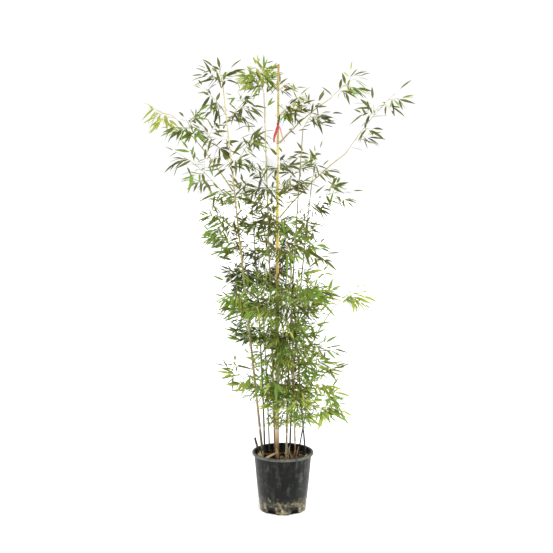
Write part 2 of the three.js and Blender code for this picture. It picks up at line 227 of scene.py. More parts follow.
world = bpy.data.worlds.new("white studio")
world.use_nodes = True
sky = world.node_tree
toward = add(sky, "ShaderNodeTexCoord").outputs["Generated"]
ahead = add(sky, "ShaderNodeSeparateXYZ", {0: toward}).outputs["Y"]
dimmed = ranged(sky, ahead, FRONT_FROM, FRONT_TO, SKY_STRENGTH * FRONT_SHARE, SKY_STRENGTH)
seen = add(sky, "ShaderNodeLightPath").outputs["Is Camera Ray"]
strength = add(sky, "ShaderNodeMix", {"Factor": seen, "A": dimmed, "B": SKY_STRENGTH}).outputs["Result"]
background = sky.nodes["Background"]
background.inputs["Color"].default_value = (1, 1, 1, 1)
sky.links.new(strength, background.inputs["Strength"])
bpy.context.scene.world = world

sun = placed("soft_sun", bpy.data.lights.new("soft_sun", "SUN"))
sun.data.energy = SUN_STRENGTH
sun.data.angle = math.radians(SUN_WIDTH)
sun.rotation_euler = [math.radians(turn) for turn in SUN_TURN]
bpy.context.scene.view_settings.view_transform = "Standard"
print("sky", SKY_STRENGTH, "sun", SUN_STRENGTH)

# %% [markdown]
# ## Helpers for meshes
#
# Thousands of leaves are quick to build when their points and faces are gathered in plain lists and made
# into one mesh at the end. Sizes are written in millimetres, as a grower measures them, and turned into
# metres in one place. A number can be kept with each point, so that a material can know how far across a
# leaf, or how near to a joint of a cane, a spot is.

# %% Gathering a mesh
MM = 0.001


def mix(a, b, t):
    """The value a part t of the way from a to b."""
    return a + (b - a) * t


class Heap:
    """Points in millimetres, faces, and one mark for each point, gathered for one mesh."""

    def __init__(self):
        self.points = []
        self.faces = []
        self.marks = []

    def put(self, points, faces, marks=None):
        """Adds points, and faces that number them from 0."""
        first = len(self.points)
        self.points.extend(points)
        self.faces.extend([tuple(first + i for i in face) for face in faces])
        self.marks.extend(marks if marks is not None else [0.0] * len(points))

    def mesh(self, name):
        mesh = bpy.data.meshes.new(name)
        mesh.from_pydata([tuple(p * MM for p in point) for point in self.points], [], self.faces)
        return mesh

    def made(self, name, finish, mark=None, smooth=True):
        """The gathered mesh as one object, riding on the plant, with its material."""
        mesh = self.mesh(name)
        if mark:
            kept = mesh.attributes.new(mark, "FLOAT", "POINT")
            kept.data.foreach_set("value", self.marks)
        mesh.polygons.foreach_set("use_smooth", [smooth] * len(mesh.polygons))
        mesh.materials.append(finish)
        mesh.update()
        made = placed(name, mesh)
        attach(made, "root")
        return made


def ring_faces(rings, sides, closed=True):
    """The faces of a tube of rings, each with the same number of points, and its two end caps."""
    faces = []
    for ring in range(rings - 1):
        for side in range(sides):
            here = ring * sides + side
            beside = ring * sides + (side + 1) % sides
            faces.append((here, beside, beside + sides, here + sides))
    if closed:
        faces.append(tuple(reversed(range(sides))))
        faces.append(tuple(range((rings - 1) * sides, rings * sides)))
    return faces


def triangles(piece):
    """How many triangles a piece comes to."""
    return sum(len(face.vertices) - 2 for face in piece.data.polygons)


print("faces of a tube of three rings:", len(ring_faces(3, 6)))

# %% [markdown]
# ## Numbers that repeat
#
# A plant looks natural when no two twigs are alike, but a script has to grow the same plant on every run.
# A seeded roll of numbers does that. This one is the oldest and shortest kind: multiply, add, and keep
# the last 32 bits. It is written out here so that the plant's solids, which come from another program,
# roll the very same numbers.

# %% Seeded dice
def dice(seed):
    """A function that rolls numbers between two ends, the same on every run."""
    state = [seed & 0xFFFFFFFF]

    def roll(low=0.0, high=1.0):
        state[0] = (state[0] * 1664525 + 1013904223) & 0xFFFFFFFF
        return mix(low, high, state[0] / 2**32)

    for _ in range(4):
        roll()
    return roll


roll = dice(7)
print("three rolls of seed 7:", [round(roll(), 3) for _ in range(3)])

# %% [markdown]
# ## The line of a limb
#
# Every cane, bough, stem and twig is a line that stands in one upright plane. It runs out sideways by a
# power of its height, so that a cane can stand straight and lean out near its top, and it may be humped
# in its middle. One small class holds that line and answers where the limb is, which way it points and
# how thick it is there.

# %% Limbs
UP = Vector((0, 0, 1))
LIMB_GAP = 0.3  # millimetres that keep the solids of two limbs apart


class Limb:
    """A line from root to tip, in millimetres, with a width at each end."""

    def __init__(self, root, tip, widths, lean=1.0, arch=0.0):
        self.root, self.reach = root, tip - root
        self.widths, self.lean, self.arch = widths, lean, arch
        self.side = Vector((-self.reach.y, self.reach.x, 0)).normalized()

    def at(self, t):
        """The place a part t of the way along, from 0 to 1."""
        out = t**self.lean
        hump = self.arch * 4 * t * (1 - t)
        return self.root + Vector((self.reach.x * out, self.reach.y * out, self.reach.z * t + hump))

    def along(self, t):
        return (self.at(min(1, t + 0.01)) - self.at(max(0, t - 0.01))).normalized()

    def radius(self, t):
        return mix(*self.widths, t) / 2

    def part_at(self, z):
        """The part of the way along, from 0 to 1, at which the limb reaches height z."""
        low, high = 0.0, 1.0
        for _ in range(30):
            middle = (low + high) / 2
            if self.at(middle).z < z:
                low = middle
            else:
                high = middle
        return low

    def outward(self, along, sides):
        """Directions straight out of the limb, evenly all round it."""
        under = self.side.cross(along)
        angles = [2 * math.pi * i / sides for i in range(sides)]
        return [self.side * math.cos(a) + under * math.sin(a) for a in angles]

    def branch(self, t, spread, turn):
        """A direction that leaves the line at an angle, turned from its level side to its underside."""
        along = self.along(t)
        out = self.side * math.cos(turn) + self.side.cross(along) * math.sin(turn)
        return (along * math.cos(spread) + out * math.sin(spread)).normalized()


def side_limb(parent, leaves_at, tip, arch, widths):
    """A limb that starts just clear of the one it leaves, or just beyond that limb's end."""
    t = 1 if leaves_at is None else parent.part_at(leaves_at)
    start, axis = parent.at(t), parent.along(t)
    way = (tip - start + UP * arch * 4).normalized()
    lying = abs(way.dot(axis))
    across = math.sqrt(max(0.0, 1 - lying * lying))
    if leaves_at is None:
        start = start + axis * (LIMB_GAP + (widths[0] / 2 + parent.radius(1)) * across)
    else:
        out = (way - axis * way.dot(axis)).normalized()
        start = start + out * (LIMB_GAP + parent.radius(t) + widths[0] / 2 * lying)
    return Limb(start, tip, widths, arch=arch)


half_way = Limb(Vector(), Vector((100, 0, 1000)), (10, 4), lean=2).at(0.5)
print("half-way up, a limb that leans 100 mm at its top leans", half_way.x)

# %% [markdown]
# ## The sizes of the canes and boughs
#
# The canes of one clump are of several ages. The leading one is golden and as thick as a finger, the
# one at its left is straw-coloured, and the others are thin, brown to nearly black. Each line gives
# where a cane stands on the soil, where its top is, how it leans, and its widths at foot and top.

# %% Canes and boughs
SOIL_TOP = 248
FOOT_GAP = 0.3

CANES = {
    "golden_cane": ((-26, -18), (-20, -10, 2029), 3, (19, 9)),
    "left_cane": ((-91, -8), (-264, -30, 1940), 1, (12, 5)),
    "pale_cane": ((-36, 24), (-85, 70, 1902), 1.1, (10, 4)),
    "brown_cane": ((16, -30), (87, -60, 1750), 1.5, (10, 4)),
    "black_cane": ((33, 42), (135, 230, 1495), 1.5, (9, 4)),
    "dark_cane": ((-84, 46), (-142, 220, 1380), 1.4, (9, 4)),
    "front_cane": ((56, -52), (30, -200, 1178), 1.4, (8, 4)),
    "right_cane": ((106, 8), (37, 60, 1138), 0.9, (8, 4)),
    "grey_cane": ((-62, 88), (-96, 160, 992), 1.2, (7, 4)),
    "right_shoot": ((72, 30), (160, 20, 730), 1.1, (7, 4)),
    "cut_stub": ((-109, 34), (-129, 38, 328), 1, (11, 10)),
}
# name: the cane it leaves, the height there, its tip, how far it is humped up
BOUGHS = {
    "right_high_bough": ("golden_cane", 1685, (207, 20, 1878), 14, (6, 4)),
    "right_long_bough": ("golden_cane", 1355, (273, -40, 1639), 18, (7, 4)),
    "left_high_bough": ("left_cane", 1474, (-457, 20, 1772), 16, (6, 4)),
    "right_low_bough": ("right_cane", 653, (233, -40, 958), 20, (6, 4)),
}

limbs = {}
for name, (foot, top, lean, widths) in CANES.items():
    root = Vector((*foot, SOIL_TOP + FOOT_GAP + widths[0] * 0.1))
    limbs[name] = Limb(root, Vector(top), widths, lean=lean)
for name, (on, leaves_at, tip, arch, widths) in BOUGHS.items():
    limbs[name] = side_limb(limbs[on], leaves_at, Vector(tip), arch, widths)
print("canes:", len(CANES), "boughs:", len(BOUGHS))

# %% [markdown]
# ## The masses of leaves
#
# Each mass grows from one stem. The table gives the height at which the stem leaves its limb, or None
# where it goes on from the limb's end, then its tip, its hump, the spread of its twigs and leaves, and
# the number of its twigs. These are the numbers that the solids grow from.
#
# Two more belong to the looks alone. The first is how many fine twigs are added where the plant is
# thickest. The second is the age of the leaves, from 0 for old and dark to 1 for young and lime green,
# and below 0 for painted shade, a dark cool green for leaves deep in the clump.

# %% Masses
MASSES = {
    "golden_cane": [
        ("golden_high_right", 1800, (50, -110, 1862), 8, 80, 3, 0, 0.55),
        ("golden_upper_front", 1430, (-120, -120, 1560), 10, 95, 4, 1, 0.25),
        ("golden_mid_back", 1455, (80, 130, 1560), 15, 100, 4, 1, 0.3),
        ("golden_mid_front", 1290, (-80, -180, 1425), 20, 115, 4, 4, 0.3),
        ("golden_low_back", 1160, (30, 190, 1275), 20, 120, 4, 4, 0.35),
        ("golden_foot_front", 660, (5, -150, 800), 30, 135, 5, 8, 0.6),
    ],
    "left_cane": [
        ("left_crown", None, (-272, -50, 1985), 0, 88, 4, 0, 0.3),
        ("left_high_left", 1810, (-325, 90, 1890), 10, 85, 3, 0, 0.35),
        ("left_high_right", 1780, (-155, 60, 1875), 10, 85, 3, 1, 0.25),
        ("left_mid_left", 1590, (-355, 130, 1725), 10, 95, 4, 0, 0.35),
        ("left_mid_right", 1555, (-150, -150, 1690), 10, 90, 3, 0, 0.35),
        ("left_reaching", 1400, (-455, -140, 1650), 25, 95, 5, 1, 0.38),
        ("left_low_left", 1190, (-280, -80, 1330), 15, 100, 4, 9, 0.48),
        ("left_foot", 750, (-185, 60, 890), 15, 100, 3, 0, 0.5),
        ("left_tuft", 900, (-205, -70, 1020), 35, 115, 5, 1, 0.65),
        ("left_hanger", 540, (-235, -20, 665), 20, 85, 3, 0, 0.6),
    ],
    "pale_cane": [
        ("pale_crown", None, (-108, 60, 1985), 0, 85, 5, 8, 0.72),
        ("pale_high_back", 1640, (-160, 180, 1760), 15, 100, 3, 0, 0.3),
        ("pale_low_front", 520, (-75, -100, 665), 30, 130, 5, 2, 0.7),
    ],
    "brown_cane": [
        ("brown_crown", None, (131, -60, 1830), 0, 95, 3, 1, 0.15),
        ("brown_reaching", 1380, (250, -120, 1480), 20, 90, 4, 1, 0.4),
        ("brown_low_right", 1160, (125, -60, 1290), 20, 100, 4, 0, 0.4),
        ("brown_low_front", 980, (60, -200, 1105), 25, 120, 4, 1, 0.62),
    ],
    "black_cane": [
        ("black_crown", None, (155, 240, 1575), 0, 110, 4, 0, 0.35),
        ("black_mid_back", 1060, (140, 180, 1180), 20, 110, 3, 0, 0.45),
        ("black_low_back", 520, (75, 140, 680), 25, 130, 5, 1, 0.6),
    ],
    "dark_cane": [
        ("dark_crown", None, (-180, 240, 1440), 0, 115, 3, 1, 0.35),
        ("dark_low_back", 1000, (-200, 200, 1110), 20, 115, 4, 1, 0.0),
    ],
    "front_cane": [
        ("front_crown", None, (10, -240, 1290), 0, 115, 4, 4, 0.4),
        ("front_mid", 880, (-80, -220, 1010), 30, 130, 5, 12, 0.6),
        ("front_low", 430, (45, -150, 575), 20, 125, 5, 10, 0.62),
    ],
    "right_cane": [
        ("right_mid", 880, (155, 40, 1010), 20, 110, 5, 0, 0.68),
        ("right_low", 600, (175, -20, 770), 20, 105, 5, 0, 0.72),
        ("right_hanger", 520, (225, 60, 640), 20, 90, 4, 0, 0.72),
    ],
    "grey_cane": [
        # Its age below 0 gives some of its leaves the dark green of painted shade, deep in the clump.
        ("grey_crown", None, (-110, 175, 1060), 0, 130, 5, 12, -0.15),
    ],
    "right_shoot": [
        ("shoot_crown", 400, (225, 0, 505), 30, 95, 4, 1, 0.75),
    ],
    "right_high_bough": [
        ("right_high_spray", None, (320, 80, 1965), 8, 88, 3, 1, 0.6),
    ],
    "right_long_bough": [
        ("right_long_spray", None, (482, -110, 1905), 15, 88, 6, 0, 0.35),
    ],
    "left_high_bough": [
        ("left_bough_spray", 1690, (-425, -90, 1795), 8, 85, 3, 3, 0.5),
        ("left_high_spray", None, (-555, 70, 1805), 20, 88, 3, 0, 0.95),
    ],
    "right_low_bough": [
        ("right_low_spray", None, (330, -30, 1010), 20, 88, 3, 2, 0.85),
    ],
}
flat = [(on, mass) for on, masses in MASSES.items() for mass in masses]
print("masses of leaves:", len(flat))

# %% [markdown]
# ## The skin of the canes
#
# A bamboo cane, or culm, is a grass stem: a hard, smooth, waxy tube with a joint every hand's breadth.
# It could be one colour with noise. A real one changes along its length as it ripens, so the colour
# comes from the height above the floor, by a ramp, with fine lengthwise streaks over it. On the golden
# cane the ramp also holds painted light: a pale painted highlight on its lower part, and a bright band
# higher up that is painted lighter than the skin, against the shade of the leaves round it. Just under
# each joint lies a band of white waxy bloom, and the joint itself has a thin dark scar where a sheath
# was. Both are read from a mark that is kept with each point of the mesh.

# %% The culm finishes
RAMP_TOP = 2.1  # metres, the height at the top end of each colour ramp
STREAK_WIDTH = 1.2  # millimetres, between the fine lines in the skin
STREAK_LENGTH = 40  # times their width
CULM_ROUGHNESS = 0.38  # a waxed surface, between satin and gloss
CULM_IOR = 1.46  # plant wax
BLOOM = "#D9D6C0"
SCAR = "#3A2A1B"
BLOTCHES = 22.0  # to the metre, where the skin is darker and lighter


def culm_finish(name, stops, bloom_share=0.7):
    """Waxy bamboo skin. stops are heights in metres with the colour of the skin there."""
    finish, tree = new_finish(name)
    place = place_of(tree)
    height = add(tree, "ShaderNodeSeparateXYZ", {0: place}).outputs["Z"]
    part = ranged(tree, height, 0, RAMP_TOP)
    ripe = ramped(tree, part, [(z / RAMP_TOP, colour) for z, colour in stops])
    streak = cloud(tree, stretched(tree, place, STREAK_WIDTH * MM, STREAK_LENGTH), 1.0)
    uneven = maths(tree, "ADD", streak, cloud(tree, place, BLOTCHES))
    skin = shaded(tree, ripe, ranged(tree, uneven, 0.6, 1.4, 0.72, 1.22))
    joint = add(tree, "ShaderNodeAttribute", attribute_name="joint").outputs["Fac"]
    waxed = laid(tree, ranged(tree, joint, 0, 0.8, 0, bloom_share), skin, linear(BLOOM))
    scarred = laid(tree, ranged(tree, joint, 0.86, 0.94), waxed, linear(SCAR))
    relief = bumped(tree, streak, 0.15, 0.0004)
    finished(tree, coated(tree, scarred, CULM_ROUGHNESS, IOR=CULM_IOR, Normal=relief))
    return finish


CULM_FINISHES = {
    "golden_culm": culm_finish(
        "golden waxed culm skin",
        [
            # Painted light: the pale cream from 0.35 to 0.72 m is partly a painted highlight, and the bright
            # gold from 1.1 to 1.6 m is painted lighter than the skin, against the shade of the leaves round
            # the cane.
            (0.24, "#5C4328"), (0.3, "#906A3E"), (0.35, "#CCAE86"), (0.43, "#EED6BA"), (0.72, "#EACFAC"),
            (0.9, "#DEB468"), (1.1, "#EEC452"), (1.4, "#F6DA62"), (1.6, "#ECD668"), (1.8, "#CFBD5C"),
            (1.95, "#B8AA5A"), (2.01, "#AE8A56"), (2.03, "#96563A"),
        ],
    ),
    "left_culm": culm_finish(
        "straw culm skin on a rosy foot",
        [
            (0.24, "#3A3024"), (0.36, "#6E6048"), (0.48, "#A08C6C"), (0.6, "#C6A084"), (0.9, "#A48460"),
            (1.1, "#A89A58"), (1.25, "#C4AE62"), (1.5, "#D6C486"), (1.95, "#D8CE98"),
        ],
    ),
    "pale_culm": culm_finish(
        "pale straw culm skin",
        [(0.24, "#6A4A2C"), (0.4, "#B58E5C"), (0.9, "#B8A45C"), (1.4, "#C4B66E"), (1.9, "#D6C47A")],
    ),
    "brown_culm": culm_finish(
        "brown culm skin with a frosted foot",
        [
            (0.24, "#8C8F72"), (0.3, "#A9A98C"), (0.37, "#7A4E2E"), (0.7, "#8E6236"), (1.2, "#86763C"),
            (1.75, "#8C8A48"),
        ],
    ),
    "tan_culm": culm_finish(
        "tan culm skin",
        [(0.24, "#54381F"), (0.34, "#7E5634"), (0.6, "#96683C"), (1.0, "#847440"), (1.2, "#7C7A3C")],
    ),
    "grey_culm": culm_finish(
        "grey green culm skin",
        [(0.24, "#4A4A38"), (0.4, "#5E6450"), (0.7, "#6A6E4E"), (1.0, "#74763F")],
        bloom_share=0.5,
    ),
    "dark_culm": culm_finish(
        "dark brown culm skin",
        [(0.24, "#2E241A"), (0.5, "#3E3022"), (0.9, "#4E4128"), (1.3, "#66602F"), (1.5, "#7C7A3C")],
        bloom_share=0.35,
    ),
    "bough_bark": culm_finish(
        "olive skin of a side branch",
        [(0.4, "#7E7C3C"), (1.0, "#8E8E44"), (1.5, "#A09A50"), (1.9, "#B4A458")],
        bloom_share=0.3,
    ),
}
print("culm finishes:", len(CULM_FINISHES))

# %% [markdown]
# ## Canes with joints
#
# A culm could be a plain tube with rings painted on. Its joints are what make it bamboo, so they are
# modelled. At each joint the tube swells to the thin sharp scar of a fallen sheath, then to a second low
# ridge just above it. Between two joints it is straight, and one side, above each bud, is pressed in as
# a shallow groove, on alternate sides. A joint comes where each branch leaves, as branches only grow
# from joints, and the rest are spaced evenly between those.

# %% The places of the joints
INTERNODE = {"cane": 118, "bough": 62}  # millimetres between joints, about
CLOSE_JOINTS = 50  # millimetres, two branches nearer than this share a joint
PLAIN_TOP = 25  # millimetres without a joint, below the top

branch_heights = {name: [] for name in limbs}
for on, mass in flat:
    if mass[1] is not None:
        branch_heights[on].append(mass[1])
for on, leaves_at, *_ in BOUGHS.values():
    branch_heights[on].append(leaves_at)


def joint_parts(name, internode):
    """Where the joints of a limb are, as parts of the way along it."""
    limb = limbs[name]
    length = limb.reach.length
    fixed = [0.0]
    for height in sorted(branch_heights[name]):
        t = limb.part_at(height)
        if (t - fixed[-1]) * length > CLOSE_JOINTS:
            fixed.append(t)
    fixed.append(1.0)
    parts = []
    for low, high in zip(fixed, fixed[1:]):
        count = max(1, round((high - low) * length / internode))
        parts += [mix(low, high, i / count) for i in range(1, count + 1)]
    return [t for t in parts if t < 1 - PLAIN_TOP / length]


print("joints on the golden cane:", len(joint_parts("golden_cane", INTERNODE["cane"])))

# %% A jointed tube
# Along a joint: millimetres from its scar, how much wider than the tube, and the mark for the material.
JOINT_PROFILE = [
    (-22, 1.0, 0.0), (-12, 1.0, 0.55), (-3, 1.02, 0.8), (-0.9, 1.16, 0.95), (0.0, 1.2, 1.0),
    (0.8, 1.05, 0.95), (2.2, 1.03, 0.4), (4.2, 1.13, 0.1), (7.0, 1.01, 0.0),
]
GROOVE_DEPTH = 0.12  # of the radius
GROOVE_WIDTH = 0.5  # radians
FOOT_SUNK = 8  # millimetres that a cane goes into the soil


def jointed(name, finish, sides, internode, sunk):
    """The skin of one limb with its joints, as one mesh that stands for the plain solid."""
    limb = limbs[name]
    length = limb.reach.length
    joints = joint_parts(name, internode)
    stations = [(0.0, 1.06, 0.2), (1.0, 1.0, 0.0)]
    for t in joints:
        slim = min(1.0, limb.radius(t) / 3.0)
        stations += [(t + off * slim / length, wide, mark) for off, wide, mark in JOINT_PROFILE]
    ends = [0.0, *joints, 1.0]
    stations += [(mix(low, high, i / 4), 1.0, 0.0) for low, high in zip(ends, ends[1:]) for i in (1, 2, 3)]
    stations = sorted(s for s in stations if 0 <= s[0] <= 1)
    if sunk:
        stations.insert(0, (0.0, 1.1, 0.2))
    skin = Heap()
    for number, (t, wide, mark) in enumerate(stations):
        centre, along, radius = limb.at(t), limb.along(t), limb.radius(t)
        if sunk and number == 0:
            centre = centre - along * sunk
        joints_below = sum(1 for joint in joints if joint < t)
        groove = 0 if joints_below % 2 else math.pi
        ring = []
        for i, out in enumerate(limb.outward(along, sides)):
            away = math.remainder(2 * math.pi * i / sides - groove, 2 * math.pi)
            dent = GROOVE_DEPTH * math.exp(-((away / GROOVE_WIDTH) ** 2)) if wide == 1.0 else 0.0
            ring.append(centre + out * radius * wide * (1 - dent))
        skin.put(ring, [], [mark] * sides)
    skin.faces = ring_faces(len(stations), sides)
    made = skin.made(name + "_skin", finish, mark="joint")
    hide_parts(name)
    return made


SKINS = {  # limb: its finish, the record's slot, and the sides of its tube
    "golden_cane": ("golden_culm", "golden_culm", 20),
    "left_cane": ("left_culm", "pale_culm", 16),
    "pale_cane": ("pale_culm", "pale_culm", 14),
    "brown_cane": ("brown_culm", "dark_culm", 14),
    "front_cane": ("tan_culm", "dark_culm", 12),
    "grey_cane": ("grey_culm", "dark_culm", 12),
}
for name in limbs:
    if name == "cut_stub":
        continue
    if name in BOUGHS:
        kind, sunk, plain = "bough", 0, ("bough_bark", "bough_bark", 10)
    else:
        kind, sunk, plain = "cane", FOOT_SUNK, ("dark_culm", "dark_culm", 12)
    finish, slot, sides = SKINS.get(name, plain)
    made = jointed(name, CULM_FINISHES[finish], sides, INTERNODE[kind], sunk)
    print(made.name, triangles(made), "triangles")

# %% [markdown]
# ## The cut stub
#
# An old cane at the left of the pot was cut off a hand above the soil. The cut shows what a culm is: a
# pipe with a thin hard wall. So the stub is a tube that turns in at the top and goes down inside.

# %% The stub
STUB_WALL = 0.34  # of the radius
STUB_HOLLOW = 14  # millimetres deep
STUB_SIDES = 14
SAWN_ROUGH = 1.5  # millimetres, how uneven the saw left its top
# Along the stub: millimetres above its foot, or None for its top, its width and its mark.
stub_rings = [
    (-FOOT_SUNK, 1.08, 0.3), (0, 1.0, 0.2), (24, 0.97, 0.0), (40, 1.0, 0.6), (43, 1.16, 1.0), (46, 1.0, 0.5),
    (49, 1.1, 0.1), (54, 0.98, 0.0), (None, 0.95, 0.0), (None, 1 - STUB_WALL, 0.9), (None, 0.5, 1.0),
]
stub = limbs["cut_stub"]
stub_skin = Heap()
for number, (rise, wide, mark) in enumerate(stub_rings):
    drop = STUB_HOLLOW if number == len(stub_rings) - 1 else 0
    centre = stub.root + stub.reach.normalized() * (stub.reach.length - drop if rise is None else rise)
    ring = []
    for i, out in enumerate(stub.outward(stub.along(0.5), STUB_SIDES)):
        angle = 2 * math.pi * i / STUB_SIDES
        ragged = SAWN_ROUGH * math.sin(3 * angle) if rise is None and not drop else 0
        sawn = SAWN_ROUGH + ragged if rise is None else 0
        ring.append(centre + out * stub.radius(0.5) * wide - UP * sawn)
    stub_skin.put(ring, [], [mark] * STUB_SIDES)
stub_skin.faces = ring_faces(len(stub_rings), STUB_SIDES)
stub_piece = stub_skin.made("cut_stub_skin", CULM_FINISHES["dark_culm"], mark="joint")
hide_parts("cut_stub")
print("stub", triangles(stub_piece), "triangles")

# %% [markdown]
# ## The leaves' finish
#
# A bamboo leaf is thin and tough, with a pale midrib and fine parallel veins. It is satin on top, and
# light comes through it, so a leaf with the sun behind it glows yellow green. A surface shader mixed
# with a little of a translucent one gives both. Leaves of one spray share one age, so each age has its
# own plain green, and sprays are dealt out among them. An age below 0 is painted shade: leaves deep in
# the clump, where shade falls, are painted a dark, cool green.

# %% The leaf finishes
LEAF_ROUGHNESS = 0.44  # satin
LEAF_IOR = 1.45  # the waxy skin of a leaf
LEAF_GLOW = 0.36  # the share of light that comes through
VEINS = 7  # on each side of the midrib, fewer than real so that they show
MIDRIB, MIDRIB_PALE = 0.14, 0.35  # how wide it is, of the half blade, and how pale
LEAF_TONES = (0.7, 1.42)  # the darkest and lightest patches, times the plain green
LEAF_AGES = [  # name, the age of the youngest of them, front colour, colour of the light through it
    # painted shade, for leaves deep inside the clump
    ("shade_leaves", -0.3, "#394C20", "#5C7828"),
    ("old_leaves", 0.22, "#31360F", "#585F18"),
    ("grown_leaves", 0.5, "#474F16", "#7E8420"),
    ("fresh_leaves", 0.78, "#618031", "#98B83B"),
    ("young_leaves", 1.3, "#949E44", "#C8CE58"),
    ("dry_leaves", 9, "#BBAA7C", "#D0C090"),
]


def leaf_finish(name, front, through):
    """A living leaf: satin skin, a paler midrib, fine veins, and light that comes through."""
    finish, tree = new_finish(name)
    across = add(tree, "ShaderNodeAttribute", attribute_name="across").outputs["Fac"]
    patch = cloud(tree, place_of(tree), 35.0)
    blade = shaded(tree, linear(front)[:3], ranged(tree, patch, 0.3, 0.7, *LEAF_TONES))
    ribbed = laid(tree, ranged(tree, across, 0, MIDRIB, MIDRIB_PALE, 0), blade, linear("#C9CF8E"))
    vein = maths(tree, "SINE", maths(tree, "MULTIPLY", across, VEINS * 2 * math.pi))
    relief = bumped(tree, vein, 0.25, 0.0002)
    finished(tree, coated(tree, ribbed, LEAF_ROUGHNESS, IOR=LEAF_IOR, Normal=relief), through, LEAF_GLOW)
    return finish


for name, _, front, through in LEAF_AGES:
    leaf_finish(name.replace("_", " "), front, through)
print("leaf ages:", len(LEAF_AGES))

# %% [markdown]
# ## One leaf blade
#
# A bamboo leaf is a long lance: a short narrow stalk, widest a third of the way along, and drawn out to
# a fine point. It is folded a little along its midrib, hangs under its own weight and has a slight
# twist. Five cross lines of three points between two end points are enough for all of that.

# %% A blade
BLADE = [(0.05, 0.12), (0.17, 0.66), (0.38, 1.0), (0.66, 0.74), (0.87, 0.32)]  # part along, part of width
BLADE_FOLD = 0.22  # how far the edges stand above the midrib, of the half width
blade_faces = [(0, 2, 1), (0, 3, 2)]
for station in range(len(BLADE) - 1):
    a = 1 + 3 * station
    blade_faces += [(a, a + 1, a + 4, a + 3), (a + 1, a + 2, a + 5, a + 4)]
end = 1 + 3 * len(BLADE)
blade_faces += [(end - 3, end - 2, end), (end - 2, end - 1, end)]
BLADE_MARKS = [0.0, *[1.0, 0.0, 1.0] * len(BLADE), 0.0]
BLADE_LINE = (0, 5, 8, 11, -1)  # those of its points that lie along the midrib, from stalk to tip


def blade_points(base, along, over, length, width, droop, twist):
    """The points of one leaf, in millimetres."""
    across = over.cross(along).normalized()

    def rib(part):
        return base + along * (part * length) - UP * (droop * length * part * part)

    points = [base]
    for part, share in BLADE:
        turn = twist * part
        beside = across * math.cos(turn) + over * math.sin(turn)
        lift = (over * math.cos(turn) - across * math.sin(turn)) * BLADE_FOLD
        half = width / 2 * share
        points += [rib(part) + (lift + beside) * half, rib(part), rib(part) + (lift - beside) * half]
    return [*points, rib(1)]


print("faces of one leaf:", len(blade_faces))

# %% [markdown]
# ## Twigs and fans of leaves
#
# The solids have, for each spray, one thick leaf. On the plant a spray is a twiglet that ends in a few
# leaves, left and right in turn, the last one straight on. So each thick leaf becomes a twiglet that
# runs along its first part, with real leaves that reach to its tip.
#
# A leaf that would pass through a cane, or stand out beyond the masses, is left off, as a real one would
# have grown another way. Fans are thin and large-leaved high up and in full light, and full of finer
# leaves inside the lower crown.

# %% The rule of growth
STEM = (6, 5)  # widths in the solids, which set where a stem starts
STEM_DRAWN = (2.6, 1.7)  # real widths, root and tip
KNOT = 1.35  # how much wider a twig is at a knot
TWIG = {"widths": (3.4, 3.2), "drawn": (1.6, 1.1), "first": 0.15, "last": 0.94, "faces": (1, 3, -1, -3)}
SPRAY = {"per_twig": 4, "shortest": 34, "per_spread": 0.72, "sunk": 2, "drawn": (1.1, 0.7)}
LEAF = {"length": (42, 88), "width": (0.15, 0.2), "wide": (0.5, 1.3), "narrow": (0.1, 0.5)}
LEAF_TILT = 0.6  # how far out of the spray's plane a leaf may point
LEAF_HANG = 0.8  # how far a leaf may sink towards the ground
LONE_LEAVES = 2  # single leaves along a twig
SHORTEST_STALK = 16  # millimetres of twiglet below the last leaf
WOOD_GAP = 2  # millimetres between a leaf and a cane
BEYOND = 20  # millimetres that a leaf may stand out of the masses' own boxes
DRY_SHARE = 0.007  # of the sprays
AGE_SPREAD = 0.27  # how far the age of a spray is from the age of its mass


def twig_of(stem, spread, k, count, roll):
    """Twig k of a stem, by the rule that the solids grow from."""
    t = mix(TWIG["first"], TWIG["last"], (k + roll(0.3, 0.7)) / count)
    turn = (TWIG["faces"][k % 4] / 4 + roll(-0.06, 0.06)) * math.pi
    way = stem.branch(t, roll(0.7, 1.1), turn)
    return Limb(stem.at(t), stem.at(t) + way * (spread * roll(0.35, 0.65)), TWIG["widths"])


def spray_of(twig, spread, j, roll):
    """Where spray j of a twig starts, which way it points, its upper side and its length."""
    last = j == SPRAY["per_twig"] - 1
    t = 0.97 if last else mix(0.25, 0.9, (j + roll(0.2, 0.8)) / (SPRAY["per_twig"] - 1))
    turn = ((1 / 6 if j % 2 else 5 / 6) + roll(-0.07, 0.07)) * math.pi
    along = twig.branch(t, 0.06 if last else roll(0.5, 1.1), turn)
    face = Vector((roll(-1, 1), roll(-1, 1), roll(0.2, 0.9)))
    base = twig.at(t) - along * (SPRAY["sunk"] if last else 0)
    length = (SPRAY["shortest"] + SPRAY["per_spread"] * spread) * roll(0.85, 1.15)
    return base, along, face, length


print("sprays on a twig:", SPRAY["per_twig"])

# %% Room round the canes
WOOD_PIECES = 24  # straight pieces that each limb is taken for

wood_from, wood_to, wood_radius = [], [], []
for limb in limbs.values():
    for i in range(WOOD_PIECES):
        wood_from.append(limb.at(i / WOOD_PIECES))
        wood_to.append(limb.at((i + 1) / WOOD_PIECES))
        wood_radius.append(limb.radius(i / WOOD_PIECES))
wood_from, wood_to, wood_radius = map(np.array, (wood_from, wood_to, wood_radius))
wood_run = wood_to - wood_from
wood_square = (wood_run**2).sum(1)


def clear_of_wood(points):
    """Whether all these points keep off the canes and boughs."""
    spots = np.array(points)[:, None, :]
    part = np.clip(((spots - wood_from) * wood_run).sum(2) / wood_square, 0, 1)
    gap = np.linalg.norm(wood_from + part[..., None] * wood_run - spots, axis=2)
    return bool((gap > wood_radius + WOOD_GAP).all())


print("pieces of wood to keep clear of:", len(wood_radius))

# %% Growing a twig and a fan
leaf_heaps = {name: Heap() for name, *_ in LEAF_AGES}
twig_heap = Heap()


